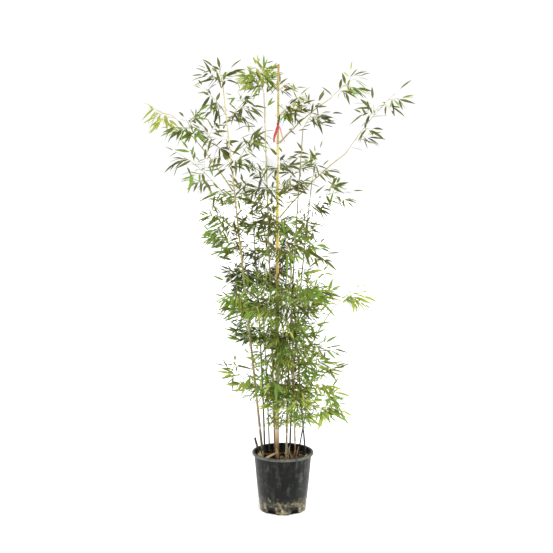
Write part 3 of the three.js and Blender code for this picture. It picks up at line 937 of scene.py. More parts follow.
def put_twig(limb, drawn, rings, sides, knots=0, sunk=1.5, heap=twig_heap):
    """A thin tube along a limb, a little swollen at its knots, rooted in what it leaves."""
    points = []
    for i in range(rings + 1):
        t = i / rings
        centre, along = limb.at(t), limb.along(t)
        if i == 0:
            centre = centre - along * sunk
        radius = mix(*drawn, t) / 2 * (KNOT if knots and i % knots == 0 and i < rings else 1.0)
        points += [centre + out * radius for out in limb.outward(along, sides)]
    heap.put(points, ring_faces(rings + 1, sides))


def age_of(age, roll):
    """The name of the heap of leaves that a spray of this age goes to."""
    if roll() < DRY_SHARE:
        return LEAF_AGES[-1][0]
    grown = age + roll(-AGE_SPREAD, AGE_SPREAD)
    return next(name for name, youngest, *_ in LEAF_AGES if grown < youngest)


def put_leaf(heap, base, way, over, length, roll):
    """One leaf, if it has room. Says whether it was grown."""
    facing = (over + Vector((roll(-0.6, 0.6), roll(-0.6, 0.6), roll(0, 0.4)))).normalized()
    facing = (facing - way * facing.dot(way)).normalized()
    droop, twist = roll(0.02, 0.26), roll(-0.7, 0.7)
    points = blade_points(base, way, facing, length, length * roll(*LEAF["width"]), droop, twist)
    line = [points[i] for i in BLADE_LINE]
    if not (in_reach(line[2]) and in_reach(line[-1]) and clear_of_wood(line)):
        return False
    leaf_heaps[heap].put(points, blade_faces, BLADE_MARKS)
    return True


def put_fan(base, along, face, length, age, leaves, roll):
    """One spray: a twiglet, with leaves at its sides in turn and one at its end."""
    fewest, most, size = leaves
    across = face.cross(along).normalized()
    over = along.cross(across)
    if over.z < 0:
        over, across = -over, -across
    last_leaf = min(roll(*LEAF["length"]) * size, length - SHORTEST_STALK)
    stalk = Limb(base, base + along * (length - last_leaf), SPRAY["drawn"], arch=roll(-5, 3))
    if not clear_of_wood([stalk.at(0.6), stalk.at(1)]):
        return 0
    heap = age_of(age, roll)
    grown = int(put_leaf(heap, stalk.at(1), along, over, last_leaf, roll))
    count = int(roll(fewest, most + 0.99)) - 1
    for i in range(count):
        t = (i + 0.7 + roll(-0.4, 0.4)) / (count + 0.3)
        angle = mix(roll(*LEAF["wide"]), roll(*LEAF["narrow"]), t) * (1 if i % 2 else -1)
        out = along * math.cos(angle) + across * math.sin(angle) + over * roll(-LEAF_TILT, LEAF_TILT)
        way = (out - UP * roll(0, LEAF_HANG)).normalized()
        grown += put_leaf(heap, stalk.at(min(1, t)), way, over, roll(*LEAF["length"]) * size, roll)
    if grown:
        put_twig(stalk, SPRAY["drawn"], 2, 3, sunk=0.5)
    return grown


def put_lone_leaves(limb, count, age, size, roll):
    """Single leaves, each from a bud along a twig, out to any side."""
    grown = 0
    for i in range(count):
        t = (i + roll(0.1, 0.9)) / count
        way = limb.branch(t, roll(0.4, 1.3), roll(-math.pi, math.pi))
        way = (way - UP * roll(0, LEAF_HANG)).normalized()
        base = limb.at(t) + way
        grown += put_leaf(age_of(age, roll), base, way, UP, roll(*LEAF["length"]) * size, roll)
    return grown


print("heaps of leaves:", len(leaf_heaps))

# %% How far the masses reach
boxes = np.array([[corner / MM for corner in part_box(mass[0])] for _, mass in flat])
reach_low, reach_high = boxes[:, 0] - BEYOND, boxes[:, 1] + BEYOND
whole_low, whole_high = np.array(CAD_LOW) / MM, np.array(CAD_HIGH) / MM


def in_reach(point):
    """Whether a point is in the space of the masses of leaves, and of the whole plant."""
    spot = np.array(point)
    near = ((spot > reach_low) & (spot < reach_high)).all(1).any()
    return bool(near and (spot > whole_low).all() and (spot < whole_high).all())


print("masses reach", np.round(reach_high.max(0)), "millimetres right, back and up")

# %% Growing all the masses
LEAVES = {  # the fewest and the most leaves in a fan, and their size
    "thin": (1, 3, 1.0), "middling": (1, 4, 0.92), "fine": (2, 6, 0.66), "lush": (2, 5, 1.0),
}
LUSH = ("left_tuft", "right_mid", "right_hanger", "shoot_crown")  # masses of big leaves in full light
FULLER_BELOW = 1150  # millimetres up, where the crown thickens
FULL_FROM = 3  # added twigs, from which a mass has full fans
LATE_LONGER = 1.35  # the added twigs are longer, and fill the gaps between the others


def fan_size(height, added):
    """How many leaves a fan has: more in the lower crown, and in masses with many twigs added."""
    if height > FULLER_BELOW:
        return LEAVES["middling" if added else "thin"]
    return LEAVES["fine" if added >= FULL_FROM else "thin"]


leaves_of = {}
for index, (on, mass) in enumerate(flat):
    name, leaves_at, tip, arch, spread, twigs, extra, age = mass
    stem = side_limb(limbs[on], leaves_at, Vector(tip), arch, STEM)
    put_twig(stem, STEM_DRAWN, 12, 5, knots=3)
    leaves, grown = LEAVES["lush"] if name in LUSH else fan_size(tip[2], extra), 0
    for k in range(twigs + extra):
        roll = dice(index * 1009 + k * 31 + 7)  # the seeds that the solids have
        if k < twigs:
            twig = twig_of(stem, spread, k, twigs, roll)
        else:
            twig = twig_of(stem, spread * LATE_LONGER, k - twigs, extra, roll)
        if not clear_of_wood([twig.at(0.5), twig.at(1)]):
            continue
        put_twig(twig, TWIG["drawn"], 4, 4, knots=2)
        for j in range(SPRAY["per_twig"]):
            grown += put_fan(*spray_of(twig, spread, j, roll), age, leaves, roll)
        grown += put_lone_leaves(twig, LONE_LEAVES, age, leaves[2], roll)
    roll = dice(index * 1009 + 5)
    grown += put_fan(*spray_of(stem, spread, SPRAY["per_twig"] - 1, roll), age, leaves, roll)
    grown += put_lone_leaves(stem, 2 * LONE_LEAVES, age, leaves[2], roll)
    leaves_of[name] = grown
print("leaves in masses:", sum(leaves_of.values()))
print("fewest and most in a mass:", min(leaves_of.values()), max(leaves_of.values()))

# %% [markdown]
# ## Short shoots at the joints
#
# Between its long branches a cane also bears short leafy shoots. They fill the middle of the clump,
# where the canes stand close together. They grow by the same rule, from the joints that the canes
# already have, and only where they stay among the masses. The table says how many stand at a joint. They
# are thickest in the lower crown, and deep inside it their leaves get the dark greens of the lowest ages,
# as painted shade.

# %% Growing the short shoots
# Ages below 0, for shoots deep in the lower crown, are painted shade.
SHOOTS = [  # cane, lowest and highest joint, shoots at a joint, their length, their leaves and the age
    ("golden_cane", 1850, 2010, 5, (10, 50), "middling", 0.35),
    ("golden_cane", 1690, 1850, 6, (20, 110), "middling", 0.3),
    ("golden_cane", 1500, 1690, 8, (25, 110), "middling", 0.3),
    ("golden_cane", 1180, 1500, 3, (40, 120), "middling", 0.35),
    ("golden_cane", 1000, 1180, 7, (40, 130), "fine", 0.15),
    ("golden_cane", 700, 1000, 18, (40, 110), "fine", -0.25),
    ("golden_cane", 560, 700, 6, (40, 120), "fine", 0.75),
    ("golden_cane", 380, 560, 20, (50, 120), "fine", 0.55),
    ("left_cane", 1400, 1930, 1, (30, 90), "middling", 0.35),
    ("left_cane", 1150, 1400, 5, (60, 160), "middling", 0.5),
    ("left_cane", 700, 1000, 1, (50, 120), "lush", 0.6),
    ("left_cane", 430, 600, 1, (40, 90), "lush", 0.7),
    ("pale_cane", 1400, 1880, 2, (50, 120), "middling", 0.35),
    ("pale_cane", 1180, 1400, 5, (50, 120), "middling", 0.4),
    ("pale_cane", 1020, 1180, 7, (50, 120), "fine", -0.1),
    ("pale_cane", 700, 1000, 15, (50, 130), "fine", -0.35),
    ("pale_cane", 380, 700, 4, (40, 110), "fine", 0.6),
    ("brown_cane", 1280, 1450, 1, (90, 190), "middling", 0.35),
    ("brown_cane", 1020, 1280, 1, (30, 90), "fine", 0.35),
    ("brown_cane", 700, 1020, 7, (40, 110), "fine", 0.6),
    ("brown_cane", 520, 700, 1, (40, 90), "lush", 0.7),
    ("brown_cane", 380, 520, 9, (40, 100), "fine", 0.6),
    ("black_cane", 740, 1020, 6, (60, 130), "fine", 0.6),
    ("black_cane", 400, 600, 1, (40, 90), "fine", 0.6),
    ("dark_cane", 1200, 1350, 2, (60, 120), "middling", 0.35),
    ("dark_cane", 1020, 1200, 4, (60, 120), "fine", -0.1),
    ("dark_cane", 700, 1020, 14, (60, 130), "fine", -0.35),
    ("dark_cane", 380, 600, 3, (50, 110), "fine", 0.65),
    ("front_cane", 700, 1000, 10, (50, 130), "fine", 0.5),
    ("front_cane", 360, 600, 7, (40, 110), "fine", 0.65),
    ("right_cane", 740, 1000, 4, (60, 150), "lush", 0.65),
    ("right_cane", 800, 1000, 5, (120, 210), "lush", 0.68),
    ("grey_cane", 700, 950, 16, (50, 120), "fine", -0.35),
    ("grey_cane", 380, 700, 4, (50, 120), "fine", 0.6),
]
SHOOT_SEED = 90001
SHOOT_SPREAD, SHOOT_FAN = 90, (85, 115)  # millimetres, of its twig and of each fan
shoot_leaves = 0
for number, (name, lowest, highest, per_joint, lengths, kind, age) in enumerate(SHOOTS):
    cane = limbs[name]
    for place, t in enumerate(joint_parts(name, INTERNODE["cane"])):
        start = cane.at(t)
        if not lowest < start.z < highest:
            continue
        for which in range(per_joint):
            roll = dice(SHOOT_SEED + number * 1013 + place * 37 + which * 11)
            turn = (place + which) * math.pi + roll(-1.3, 1.3)
            way = cane.branch(t, roll(0.6, 1.1), turn)
            first = start + way * (cane.radius(t) + WOOD_GAP + 1)
            shoot = Limb(first, first + way * roll(*lengths), TWIG["widths"])
            if not (in_reach(shoot.at(1)) and clear_of_wood([shoot.at(0.5), shoot.at(1)])):
                continue
            put_twig(shoot, TWIG["drawn"], 4, 4, knots=2, sunk=WOOD_GAP + 2)
            for j in range(SPRAY["per_twig"]):
                base, along, face, _ = spray_of(shoot, SHOOT_SPREAD, j, roll)
                shoot_leaves += put_fan(base, along, face, roll(*SHOOT_FAN), age, LEAVES[kind], roll)
print("leaves on short shoots:", shoot_leaves)

# %% Leaves and twigs as meshes
for name, heap in leaf_heaps.items():
    piece = heap.made(name, bpy.data.materials[name.replace("_", " ")], mark="across")
    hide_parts(*[mass[0] for _, mass in flat])
    print(name, triangles(piece), "triangles")
twig_piece = twig_heap.made("twigs", CULM_FINISHES["bough_bark"], mark="joint")
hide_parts(*[mass[0] for _, mass in flat])
print("twigs", triangles(twig_piece), "triangles")

# %% [markdown]
# ## The nursery pot
#
# The pot is injection-moulded in recycled polypropylene. It was black and has faded to charcoal. It is a
# turned shape, so it is made as rings round an outline: a rounded foot, a low ledge, a straight tapering
# wall, and a rolled lip. A boolean then cuts the arched drains at the foot. A used pot is never quite
# round, so the rings are drawn in a very little on two sides.

# %% The outline of the pot
pot_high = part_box("pot")[1]
POT_HEIGHT = pot_high.z / MM
LIP_RADIUS = pot_high.x / MM
FOOT_RADIUS, SHOULDER_RADIUS = 107, 133
LEDGE_HEIGHT, LEDGE_STEP = 54, 1.6
LIP_DEPTH, LIP_ROUND = 12, 4
POT_WALL, POT_FLOOR = 3, 5
POT_SIDES = 120


def arc(centre, radius, start, end, steps):
    """Points of an arc in the outline, between two angles in degrees."""
    angles = [math.radians(mix(start, end, i / steps)) for i in range(steps + 1)]
    return [(centre[0] + radius * math.cos(a), centre[1] + radius * math.sin(a)) for a in angles]


def wall_at(z):
    """The outside radius of the wall at a height."""
    return mix(FOOT_RADIUS, SHOULDER_RADIUS, z / (POT_HEIGHT - LIP_DEPTH))


lip_foot = POT_HEIGHT - LIP_DEPTH
rounded = LIP_RADIUS - LIP_ROUND
outline = [
    (FOOT_RADIUS - 12, 0.0),
    *arc((FOOT_RADIUS - 3, 3), 3, -90, 0, 4),
    (wall_at(LEDGE_HEIGHT) - LEDGE_STEP, LEDGE_HEIGHT - 0.5),
    (wall_at(LEDGE_HEIGHT), LEDGE_HEIGHT + 1.5),
    (wall_at(150), 150),
    (SHOULDER_RADIUS - 1, lip_foot - 2),
    (SHOULDER_RADIUS + 1, lip_foot),
    *arc((rounded + 1, lip_foot + 3), 3, -90, 0, 4),
    *arc((rounded, POT_HEIGHT - LIP_ROUND), LIP_ROUND, 0, 90, 6),
    *arc((SHOULDER_RADIUS - POT_WALL + 2, POT_HEIGHT - 2), 2, 90, 180, 4),
    (wall_at(POT_FLOOR) - POT_WALL, POT_FLOOR),
    (30, POT_FLOOR),
]
print("points in the pot's outline:", len(outline))

# %% Turning the pot, and cutting its drains
DRAINS, DRAIN_RADIUS, DRAIN_REACH, DRAIN_SIDES = 6, 23, 14, 32
OUT_OF_ROUND = 0.007  # of the radius


def turned(rows, sides, squeeze=0.0):
    """Rings of points round the upright axis, one for each radius and height."""
    rings = []
    for radius, z in rows:
        for i in range(sides):
            angle = 2 * math.pi * i / sides
            r = radius * (1 - squeeze * (0.5 + 0.5 * math.sin(2 * angle + 0.6)))
            rings.append(Vector((r * math.cos(angle), r * math.sin(angle), z)))
    return rings


pot_heap = Heap()
pot_heap.put(turned(outline, POT_SIDES, OUT_OF_ROUND), ring_faces(len(outline), POT_SIDES))
cut_heap = Heap()
for drain in range(DRAINS):
    turn = (drain + 0.5) * 2 * math.pi / DRAINS - math.pi / 2
    out, beside = Vector((math.cos(turn), math.sin(turn), 0)), Vector((-math.sin(turn), math.cos(turn), 0))
    ends = [FOOT_RADIUS + DRAIN_REACH, FOOT_RADIUS - DRAIN_REACH]
    angles = [2 * math.pi * i / DRAIN_SIDES for i in range(DRAIN_SIDES)]
    round_drain = [beside * math.cos(a) + UP * math.sin(a) for a in angles]
    ring = [out * end + way * DRAIN_RADIUS for end in ends for way in round_drain]
    cut_heap.put(ring, ring_faces(2, DRAIN_SIDES))


def cut_away(piece_heap, cutter_heap):
    """Takes the cutter's shape out of a heap's shape, by a boolean, and gives the mesh."""
    shapes = [placed("shape", heap.mesh("shape")) for heap in (piece_heap, cutter_heap)]
    for shape in shapes:
        work = bmesh.new()
        work.from_mesh(shape.data)
        bmesh.ops.recalc_face_normals(work, faces=work.faces)
        work.to_mesh(shape.data)
        work.free()
    cut = shapes[0].modifiers.new("cut", "BOOLEAN")
    cut.operation, cut.solver, cut.object = "DIFFERENCE", "EXACT", shapes[1]
    graph = bpy.context.evaluated_depsgraph_get()
    mesh = bpy.data.meshes.new_from_object(shapes[0].evaluated_get(graph))
    for shape in shapes:
        bpy.data.objects.remove(shape)
    return mesh


pot_mesh = cut_away(pot_heap, cut_heap)
print("faces of the pot:", len(pot_mesh.polygons))

# %% [markdown]
# ## The finish of the pot
#
# Recycled polypropylene is dull, with a fine orange-peel grain and faint upright flow marks. Its flanks
# are painted paler than its front and back, as painted sheen on the sides of the round wall. Sun and
# handling have scuffed the lip to a pale grey, and along its outer top that pale grey is partly a painted
# highlight. Round the foot, splashes of soil and lime have dried in a ragged beige band, which the water
# from the drains has washed off beside them. All of it is broken up by noise, so no edge is straight.

# %% Faded polypropylene
PLASTIC_IOR = 1.49
PLASTIC_SHEEN = 0.2  # a weathered skin mirrors less than a new one
FLOW_MARK, FLOW_LENGTH = 14, 12  # millimetres across, and times as long
FLANK_PAINTED_SHEEN = 0.24  # how much paler the flanks are
LIP_FROM, LIP_TO = 0.1345, 0.138  # metres from the axis, where the wall ends and the lip begins
SCUFF_AND_HIGHLIGHT_FROM = (POT_HEIGHT - LIP_DEPTH - 1) * MM  # up from the floor
SHARP_EDGE = 35  # degrees, bends sharper than this stay sharp
SPLASH_HEIGHT = 0.078  # metres, where the band of dried mud fades out
SPLASH_RAGGED = 0.16  # metres, the most that noise moves its edge
DRIP_FROM = -0.95  # how near a drain the water has washed the mud off, by the cosine round the pot
DRIP_HIGH, DRIP_LOW = 0.05, 0.03  # metres up, between which the washing sets in

plastic, tree = new_finish("faded recycled polypropylene")
place = place_of(tree)
where = add(tree, "ShaderNodeSeparateXYZ", {0: place})
height = where.outputs["Z"]
level = add(tree, "ShaderNodeCombineXYZ", {0: where.outputs["X"], 1: where.outputs["Y"]})
radius = add(tree, "ShaderNodeVectorMath", {0: level.outputs[0]}, operation="LENGTH").outputs["Value"]
turn = maths(tree, "ARCTAN2", where.outputs["Y"], where.outputs["X"])
flow = cloud(tree, stretched(tree, place, FLOW_MARK * MM, FLOW_LENGTH), 1.0, 4.0)
mottle = cloud(tree, place, 26.0, 6.0, 0.7)
speck = cloud(tree, place, 190.0, 4.0, 0.7)

fade = ranged(tree, maths(tree, "MULTIPLY_ADD", mottle, 2.0, flow), 1.18, 1.82)
# Painted sheen: the flanks, to the left and right, are painted paler than the front and back.
flank_sheen = maths(tree, "COSINE", maths(tree, "MULTIPLY", turn, 2.0))
fade_and_flank_sheen = maths(tree, "MULTIPLY_ADD", flank_sheen, FLANK_PAINTED_SHEEN, fade)
body_stops = [(0.05, "#010101"), (0.3, "#0B0C0B"), (0.5, "#1A1D1B"), (0.75, "#313431"), (1.0, "#4A4C48")]
body = ramped(tree, fade_and_flank_sheen, body_stops)

# The pale grey on the outer top of the lip is part scuff and part painted highlight, where light falls on the
# rolled edge.
lip_part = ranged(tree, height, SCUFF_AND_HIGHLIGHT_FROM, SCUFF_AND_HIGHLIGHT_FROM + 0.002)
rubbed_and_lit_edge = maths(tree, "MULTIPLY", lip_part, ranged(tree, radius, LIP_FROM, LIP_TO))
scuff_and_highlight = maths(tree, "MULTIPLY", rubbed_and_lit_edge, ranged(tree, mottle, 0.35, 0.6, 0.3))
lipped = laid(tree, scuff_and_highlight, body, linear("#686A62"))

ragged = maths(tree, "MULTIPLY_ADD", mottle, SPLASH_RAGGED, height)
low_part = ranged(tree, ragged, SPLASH_HEIGHT + 0.075, SPLASH_HEIGHT + 0.045)
patch = cloud(tree, place, 62.0, 3.0)
caked = ranged(tree, patch, 0.36, 0.54, 0.3)
crust = maths(tree, "MULTIPLY", caked, ranged(tree, speck, 0.4, 0.54, 0.25))
splashed = maths(tree, "MULTIPLY", low_part, crust)
lobe = maths(tree, "COSINE", maths(tree, "MULTIPLY", turn, float(DRAINS)))
dripped = maths(tree, "MULTIPLY_ADD", mottle, -2.4, lobe)
beside = ranged(tree, dripped, DRIP_FROM, DRIP_FROM + 0.3)
washed = maths(tree, "MULTIPLY", beside, ranged(tree, height, DRIP_HIGH, DRIP_LOW))
left_on = maths(tree, "MULTIPLY", splashed, maths(tree, "SUBTRACT", 1.0, washed))
mud = ramped(tree, patch, [(0.35, "#5A523C"), (0.5, "#766E55"), (0.62, "#988F75"), (0.7, "#B8AF94")])
muddy = laid(tree, left_on, lipped, mud)

dullness = ranged(tree, mottle, 0.35, 0.65, 0.34, 0.6)
peel = bumped(tree, speck, 0.3, 0.0006)
surface = coated(tree, muddy, dullness, IOR=PLASTIC_IOR, Specular_IOR_Level=PLASTIC_SHEEN, Normal=peel)
finished(tree, surface)

pot_mesh.name = "nursery_pot"
pot_mesh.materials.clear()
pot_mesh.materials.append(plastic)
pot_piece = placed("nursery_pot", pot_mesh)
shown = {"object": pot_piece, "active_object": pot_piece, "selected_editable_objects": [pot_piece]}
with bpy.context.temp_override(**shown):
    bpy.ops.object.shade_smooth_by_angle(angle=math.radians(SHARP_EDGE))
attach(pot_piece, "root")
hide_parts("pot")
print("pot", triangles(pot_piece), "triangles")

# %% [markdown]
# ## The soil
#
# Potting compost is peat and composted bark: dark, crumbly and uneven. Its top is a disc of rings with
# their points lifted by noise of three sizes, for lumps, crumbs and grit. Below, it is the root ball,
# which follows the wall of the pot. Low down it is painted nearly black, as painted shade in the hollows
# where it shows in the drains.

# %% Composted bark and peat
CRUMB = 5  # millimetres
# Painted shade: below the first height the compost is painted nearly black, for the shade in the drains, and
# it lightens up to the second.
PAINTED_SHADE_BELOW, UNSHADED_ABOVE = 0.1, 0.2  # metres up

compost, tree = new_finish("composted bark and peat")
place = place_of(tree)
crumb = add(tree, "ShaderNodeTexVoronoi", {"Vector": place, "Scale": 1 / (CRUMB * MM)})
tone = add(tree, "ShaderNodeSeparateColor", {0: crumb.outputs["Color"]}).outputs[0]
height = add(tree, "ShaderNodeSeparateXYZ", {0: place}).outputs["Z"]
# Painted shade: the crumbs are darkened towards the bottom of the root ball.
tone_with_painted_shade = maths(tree, "MULTIPLY", tone, ranged(tree, height, PAINTED_SHADE_BELOW, UNSHADED_ABOVE, 0.15))
earth = ramped(tree, tone_with_painted_shade, [(0.0, "#060403"), (0.6, "#140C07"), (0.85, "#2E1D10"), (1.0, "#64482A")])
relief = bumped(tree, crumb.outputs["Distance"], 0.7, 0.002)
finished(tree, coated(tree, earth, 0.95, Specular_IOR_Level=0.15, Normal=relief))
print("finish of the soil:", compost.name)

# %% The root ball
SOIL_RINGS, SOIL_SIDES = 34, 110
SOIL_LOW, SOIL_MIDDLE = 7, 120
SOIL_GAP = 0.4  # millimetres between the root ball and the wall


def inside_at(z):
    """The inside radius of the pot at a height."""
    return mix(wall_at(POT_FLOOR), SHOULDER_RADIUS, (z - POT_FLOOR) / (POT_HEIGHT - POT_FLOOR)) - POT_WALL


def soil_height(x, y):
    """The height of the crumbly top: lumps, crumbs and grit, each so high and so wide."""
    sizes = ((5, 34), (3, 11), (1.5, 4))
    lumps = sum(high * noise.noise(Vector((x, y, high * 7)) / wide) for high, wide in sizes)
    return SOIL_TOP - 2 + lumps


soil_heap = Heap()
edge = inside_at(SOIL_TOP) - SOIL_GAP
soil_points = turned([(inside_at(z) - SOIL_GAP, z) for z in (SOIL_LOW, SOIL_MIDDLE)], SOIL_SIDES)
for row in range(SOIL_RINGS):
    radius = edge * (1 - row / SOIL_RINGS) + 1
    for point in turned([(min(radius, edge), 0)], SOIL_SIDES):
        point.z = soil_height(point.x, point.y)
        soil_points.append(point)
soil_heap.put(soil_points, ring_faces(SOIL_RINGS + 2, SOIL_SIDES))
soil_piece = soil_heap.made("root_ball", compost)
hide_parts("soil")
print("soil", triangles(soil_piece), "triangles")

# %% [markdown]
# ## Litter on the soil
#
# A bamboo drops leaves and sheaths all year. Dry leaves lie on the soil, with chips of bark. Old culm
# sheaths, stiff as card and rolled across, lean on the canes and the wall, and dead stems as thin as
# straws stand or arch among them. Each leaf is the same blade as before, laid flat, each sheath is a
# strip bent round its own length, and each dead stem is a twig.

# %% Fallen leaves and bark chips
FALLEN, CHIPS = 46, 260
LEAF_SPREAD, CHIP_SPREAD = 112, 116  # millimetres from the middle of the pot
FALLEN_LEAF = {"length": (32, 60), "width": (6, 10), "twist": (-1.2, 1.2)}
CHIP = {"length": (3, 8), "width": (1.5, 4), "thick": (0.6, 1.6)}
LITTER_SEED = 4242
litter = Heap()
roll = dice(LITTER_SEED)


def scattered(spread):
    """A spot on the soil, as likely in one place as in another."""
    radius, turn = spread * math.sqrt(roll()), roll(0, 2 * math.pi)
    return radius * math.cos(turn), radius * math.sin(turn)


for _ in range(FALLEN):
    x, y = scattered(LEAF_SPREAD)
    way_turn = roll(0, 2 * math.pi)
    way = Vector((math.cos(way_turn), math.sin(way_turn), roll(-0.05, 0.3))).normalized()
    base = Vector((x, y, soil_height(x, y) + 2)) - way * 20
    over = Vector((roll(-0.4, 0.4), roll(-0.4, 0.4), 1))
    over = (over - way * over.dot(way)).normalized()
    length, width = roll(*FALLEN_LEAF["length"]), roll(*FALLEN_LEAF["width"])
    points = blade_points(base, way, over, length, width, 0.0, roll(*FALLEN_LEAF["twist"]))
    if max(math.hypot(p.x, p.y) for p in points) < edge - 2:
        litter.put(points, blade_faces, BLADE_MARKS)
leaf_finish("fallen leaves", "#746040", "#8A7040")
litter_piece = litter.made("fallen_leaves", bpy.data.materials["fallen leaves"], mark="across")
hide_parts("soil")

chips = Heap()
for _ in range(CHIPS):
    x, y = scattered(CHIP_SPREAD)
    middle = Vector((x, y, soil_height(x, y) + roll(0, 1.5)))
    spin = Matrix.Rotation(roll(0, 2 * math.pi), 3, "Z") @ Matrix.Rotation(roll(-0.5, 0.5), 3, "X")
    long, wide, thick = (roll(*CHIP[way]) for way in ("length", "width", "thick"))
    corners = [(-1, -1), (0.2, -1.2), (1.1, -0.5), (0.9, 0.8), (-0.3, 1.1), (-1.2, 0.4)]
    ring = [
        middle + spin @ Vector((a * long * roll(0.8, 1.2), b * wide * roll(0.8, 1.2), side * thick))
        for side in (-1, 1)
        for a, b in corners
    ]
    chips.put(ring, ring_faces(2, len(corners)))
chip_piece = chips.made("bark_chips", compost, smooth=False)
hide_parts("soil")
print("litter", triangles(litter_piece) + triangles(chip_piece), "triangles")

# %% Dry sheaths and dead stems
SHEATH_STATIONS = 12
sheaths = Heap()


def put_sheath(start, end, width, hump, wrap):
    """A dry culm sheath from start to end: a strip that narrows to a point and is rolled across."""
    way = end - start
    side = way.cross(UP).normalized()
    over = side.cross(way).normalized()
    points = []
    for i in range(SHEATH_STATIONS):
        t = i / (SHEATH_STATIONS - 1)
        half = width / 2 * (1 - t**2.5 * 0.94)
        centre = start + way * t + over * (hump * 4 * t * (1 - t))
        for s in (-1, -0.5, 0, 0.5, 1):
            angle = s * wrap / 2
            out, down = math.sin(angle) * half / max(0.2, wrap / 2), (1 - math.cos(angle)) * half
            bent = side * out - over * down
            points.append(centre + bent)
    starts = [5 * i + s for i in range(SHEATH_STATIONS - 1) for s in range(4)]
    sheaths.put(points, [(a, a + 1, a + 6, a + 5) for a in starts])


def above_soil(x, y, rise):
    """A place so many millimetres above the soil."""
    return Vector((x, y, SOIL_TOP + rise))


SHEATHS = [  # foot, tip, width, hump, and how far it is rolled, in radians; heights are above the soil
    ((-80, -84, 18), (-22, -44, 34), 22, 3, 1.8),
    ((-84, -58, 0), (-104, -44, 42), 26, -4, 1.8),
    ((-98, -46, 0), (-114, 6, 16), 24, 3, 1.6),
    ((92, -58, 0), (112, -30, 21), 22, 3, 1.8),
    ((52, -88, 4), (10, -66, 9), 12, 2, 2.0),
    ((-18, -32, 0), (-30, -22, 66), 20, 2, 2.8),
    ((12, -42, 0), (20, -34, 46), 13, 2, 2.6),
    ((-89, -18, 0), (-93, -10, 44), 14, 2, 2.6),
]
for foot, tip, *shape in SHEATHS:
    put_sheath(above_soil(*foot), above_soil(*tip), *shape)

DEAD_WIDTHS = (3, 1.6)  # at the foot and at the tip
DEAD_STEMS = [  # foot, tip, hump
    ((22, -62, 0), (6, -78, 36), 14),
    ((30, -70, 1), (44, -92, 8), 22),
    ((8, -70, 0), (28, -96, 20), 18),
    ((48, -60, 0), (38, -84, 30), 10),
    ((-2, -58, 0), (-12, -92, 8), 20),
    ((24, -66, 0), (31, -60, 68), 6),
    ((42, -64, 0), (20, -58, 62), 8),
    ((46, -58, 0), (56, -68, 50), 5),
    ((14, -72, 0), (12, -62, 56), 5),
    ((60, -44, 0), (72, -50, 60), 4),
]
dead = Heap()
for foot, tip, hump in DEAD_STEMS:
    stem = Limb(above_soil(*foot), above_soil(*tip), DEAD_WIDTHS, arch=hump)
    put_twig(stem, DEAD_WIDTHS, 8, 6, sunk=0, heap=dead)

# Straw is damp and dull at its foot, and bleached above.
straw_stops = [
    (0.0, "#7C6846"), (0.25, "#8E7650"), (0.275, "#C2A878"), (0.3, "#D8C49C"), (0.34, "#D0BC94"),
]
straw = culm_finish("dry straw sheath", straw_stops)
for name, heap in (("dry_sheaths", sheaths), ("dead_stems", dead)):
    piece = heap.made(name, straw, mark="joint")
    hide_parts("soil")
    print(name, triangles(piece), "triangles")

# %% [markdown]
# ## The red ribbon
#
# Growers tie a strip of thin plastic film round the leading cane to mark it. The film is limp, so its
# tails hang, ripple and twist. Light comes through it. Where the film was stretched and torn off it is
# thin and pale pink, and elsewhere red. It is built as strips with three points to a cross line, wound
# twice round the cane, knotted in front and let fall. The second tail is the stretched one.

# %% Thin red film
FILM_IOR = 1.51  # polythene


def film_finish(name, stops, through, share):
    """Creased film: glossy, with the given share of the light coming through."""
    finish, tree = new_finish(name)
    crease = cloud(tree, place_of(tree), 160.0)
    relief = bumped(tree, crease, 0.4, 0.001)
    surface = coated(tree, ramped(tree, crease, stops), 0.3, IOR=FILM_IOR, Normal=relief)
    finished(tree, surface, through, share)
    return finish


red_film = film_finish(
    "red polythene film", [(0.35, "#B3263C"), (0.6, "#D23A50"), (0.75, "#E0606F")], "#E8707C", 0.4
)
pink_film = film_finish(
    "stretched pink polythene film", [(0.35, "#DE8E9C"), (0.7, "#F0BCC4")], "#F6CCD2", 0.5
)
print("films:", red_film.name, "and", pink_film.name)

# %% The ribbon round the golden cane
RIBBON_HEIGHT = 1770
RIBBON_BAND = 10  # millimetres wide, where it is wound
TAILS = {  # length, width, lean, and how far it bellies forward
    "ribbon": (84, 15, 0.24, -4),
    "ribbon_end": (88, 8, -0.36, 5),
}
golden = limbs["golden_cane"]
tied_at = golden.part_at(RIBBON_HEIGHT)
cane_there, golden_radius = golden.at(tied_at), golden.radius(tied_at)
strips = {name: Heap() for name in TAILS}


def put_strip(strip, centres, sides, widths):
    """A flat strip: three points across at each place, the middle one a little forward."""
    points = []
    for centre, side, width in zip(centres, sides, widths):
        forward = Vector((0, -width * 0.08, 0))
        points += [centre - side * width / 2, centre + forward, centre + side * width / 2]
    starts = [3 * i + s for i in range(len(centres) - 1) for s in (0, 1)]
    faces = [(a, a + 1, a + 4, a + 3) for a in starts]
    strip.put(points, faces)


def wound_at(angle):
    """The middle of the band at an angle, in radians, as it winds twice round the cane."""
    round_cane = Vector((math.sin(angle), -math.cos(angle), 0)) * (golden_radius + 0.3 + 0.06 * angle)
    return cane_there + round_cane + UP * (1.2 * math.sin(angle / 2))


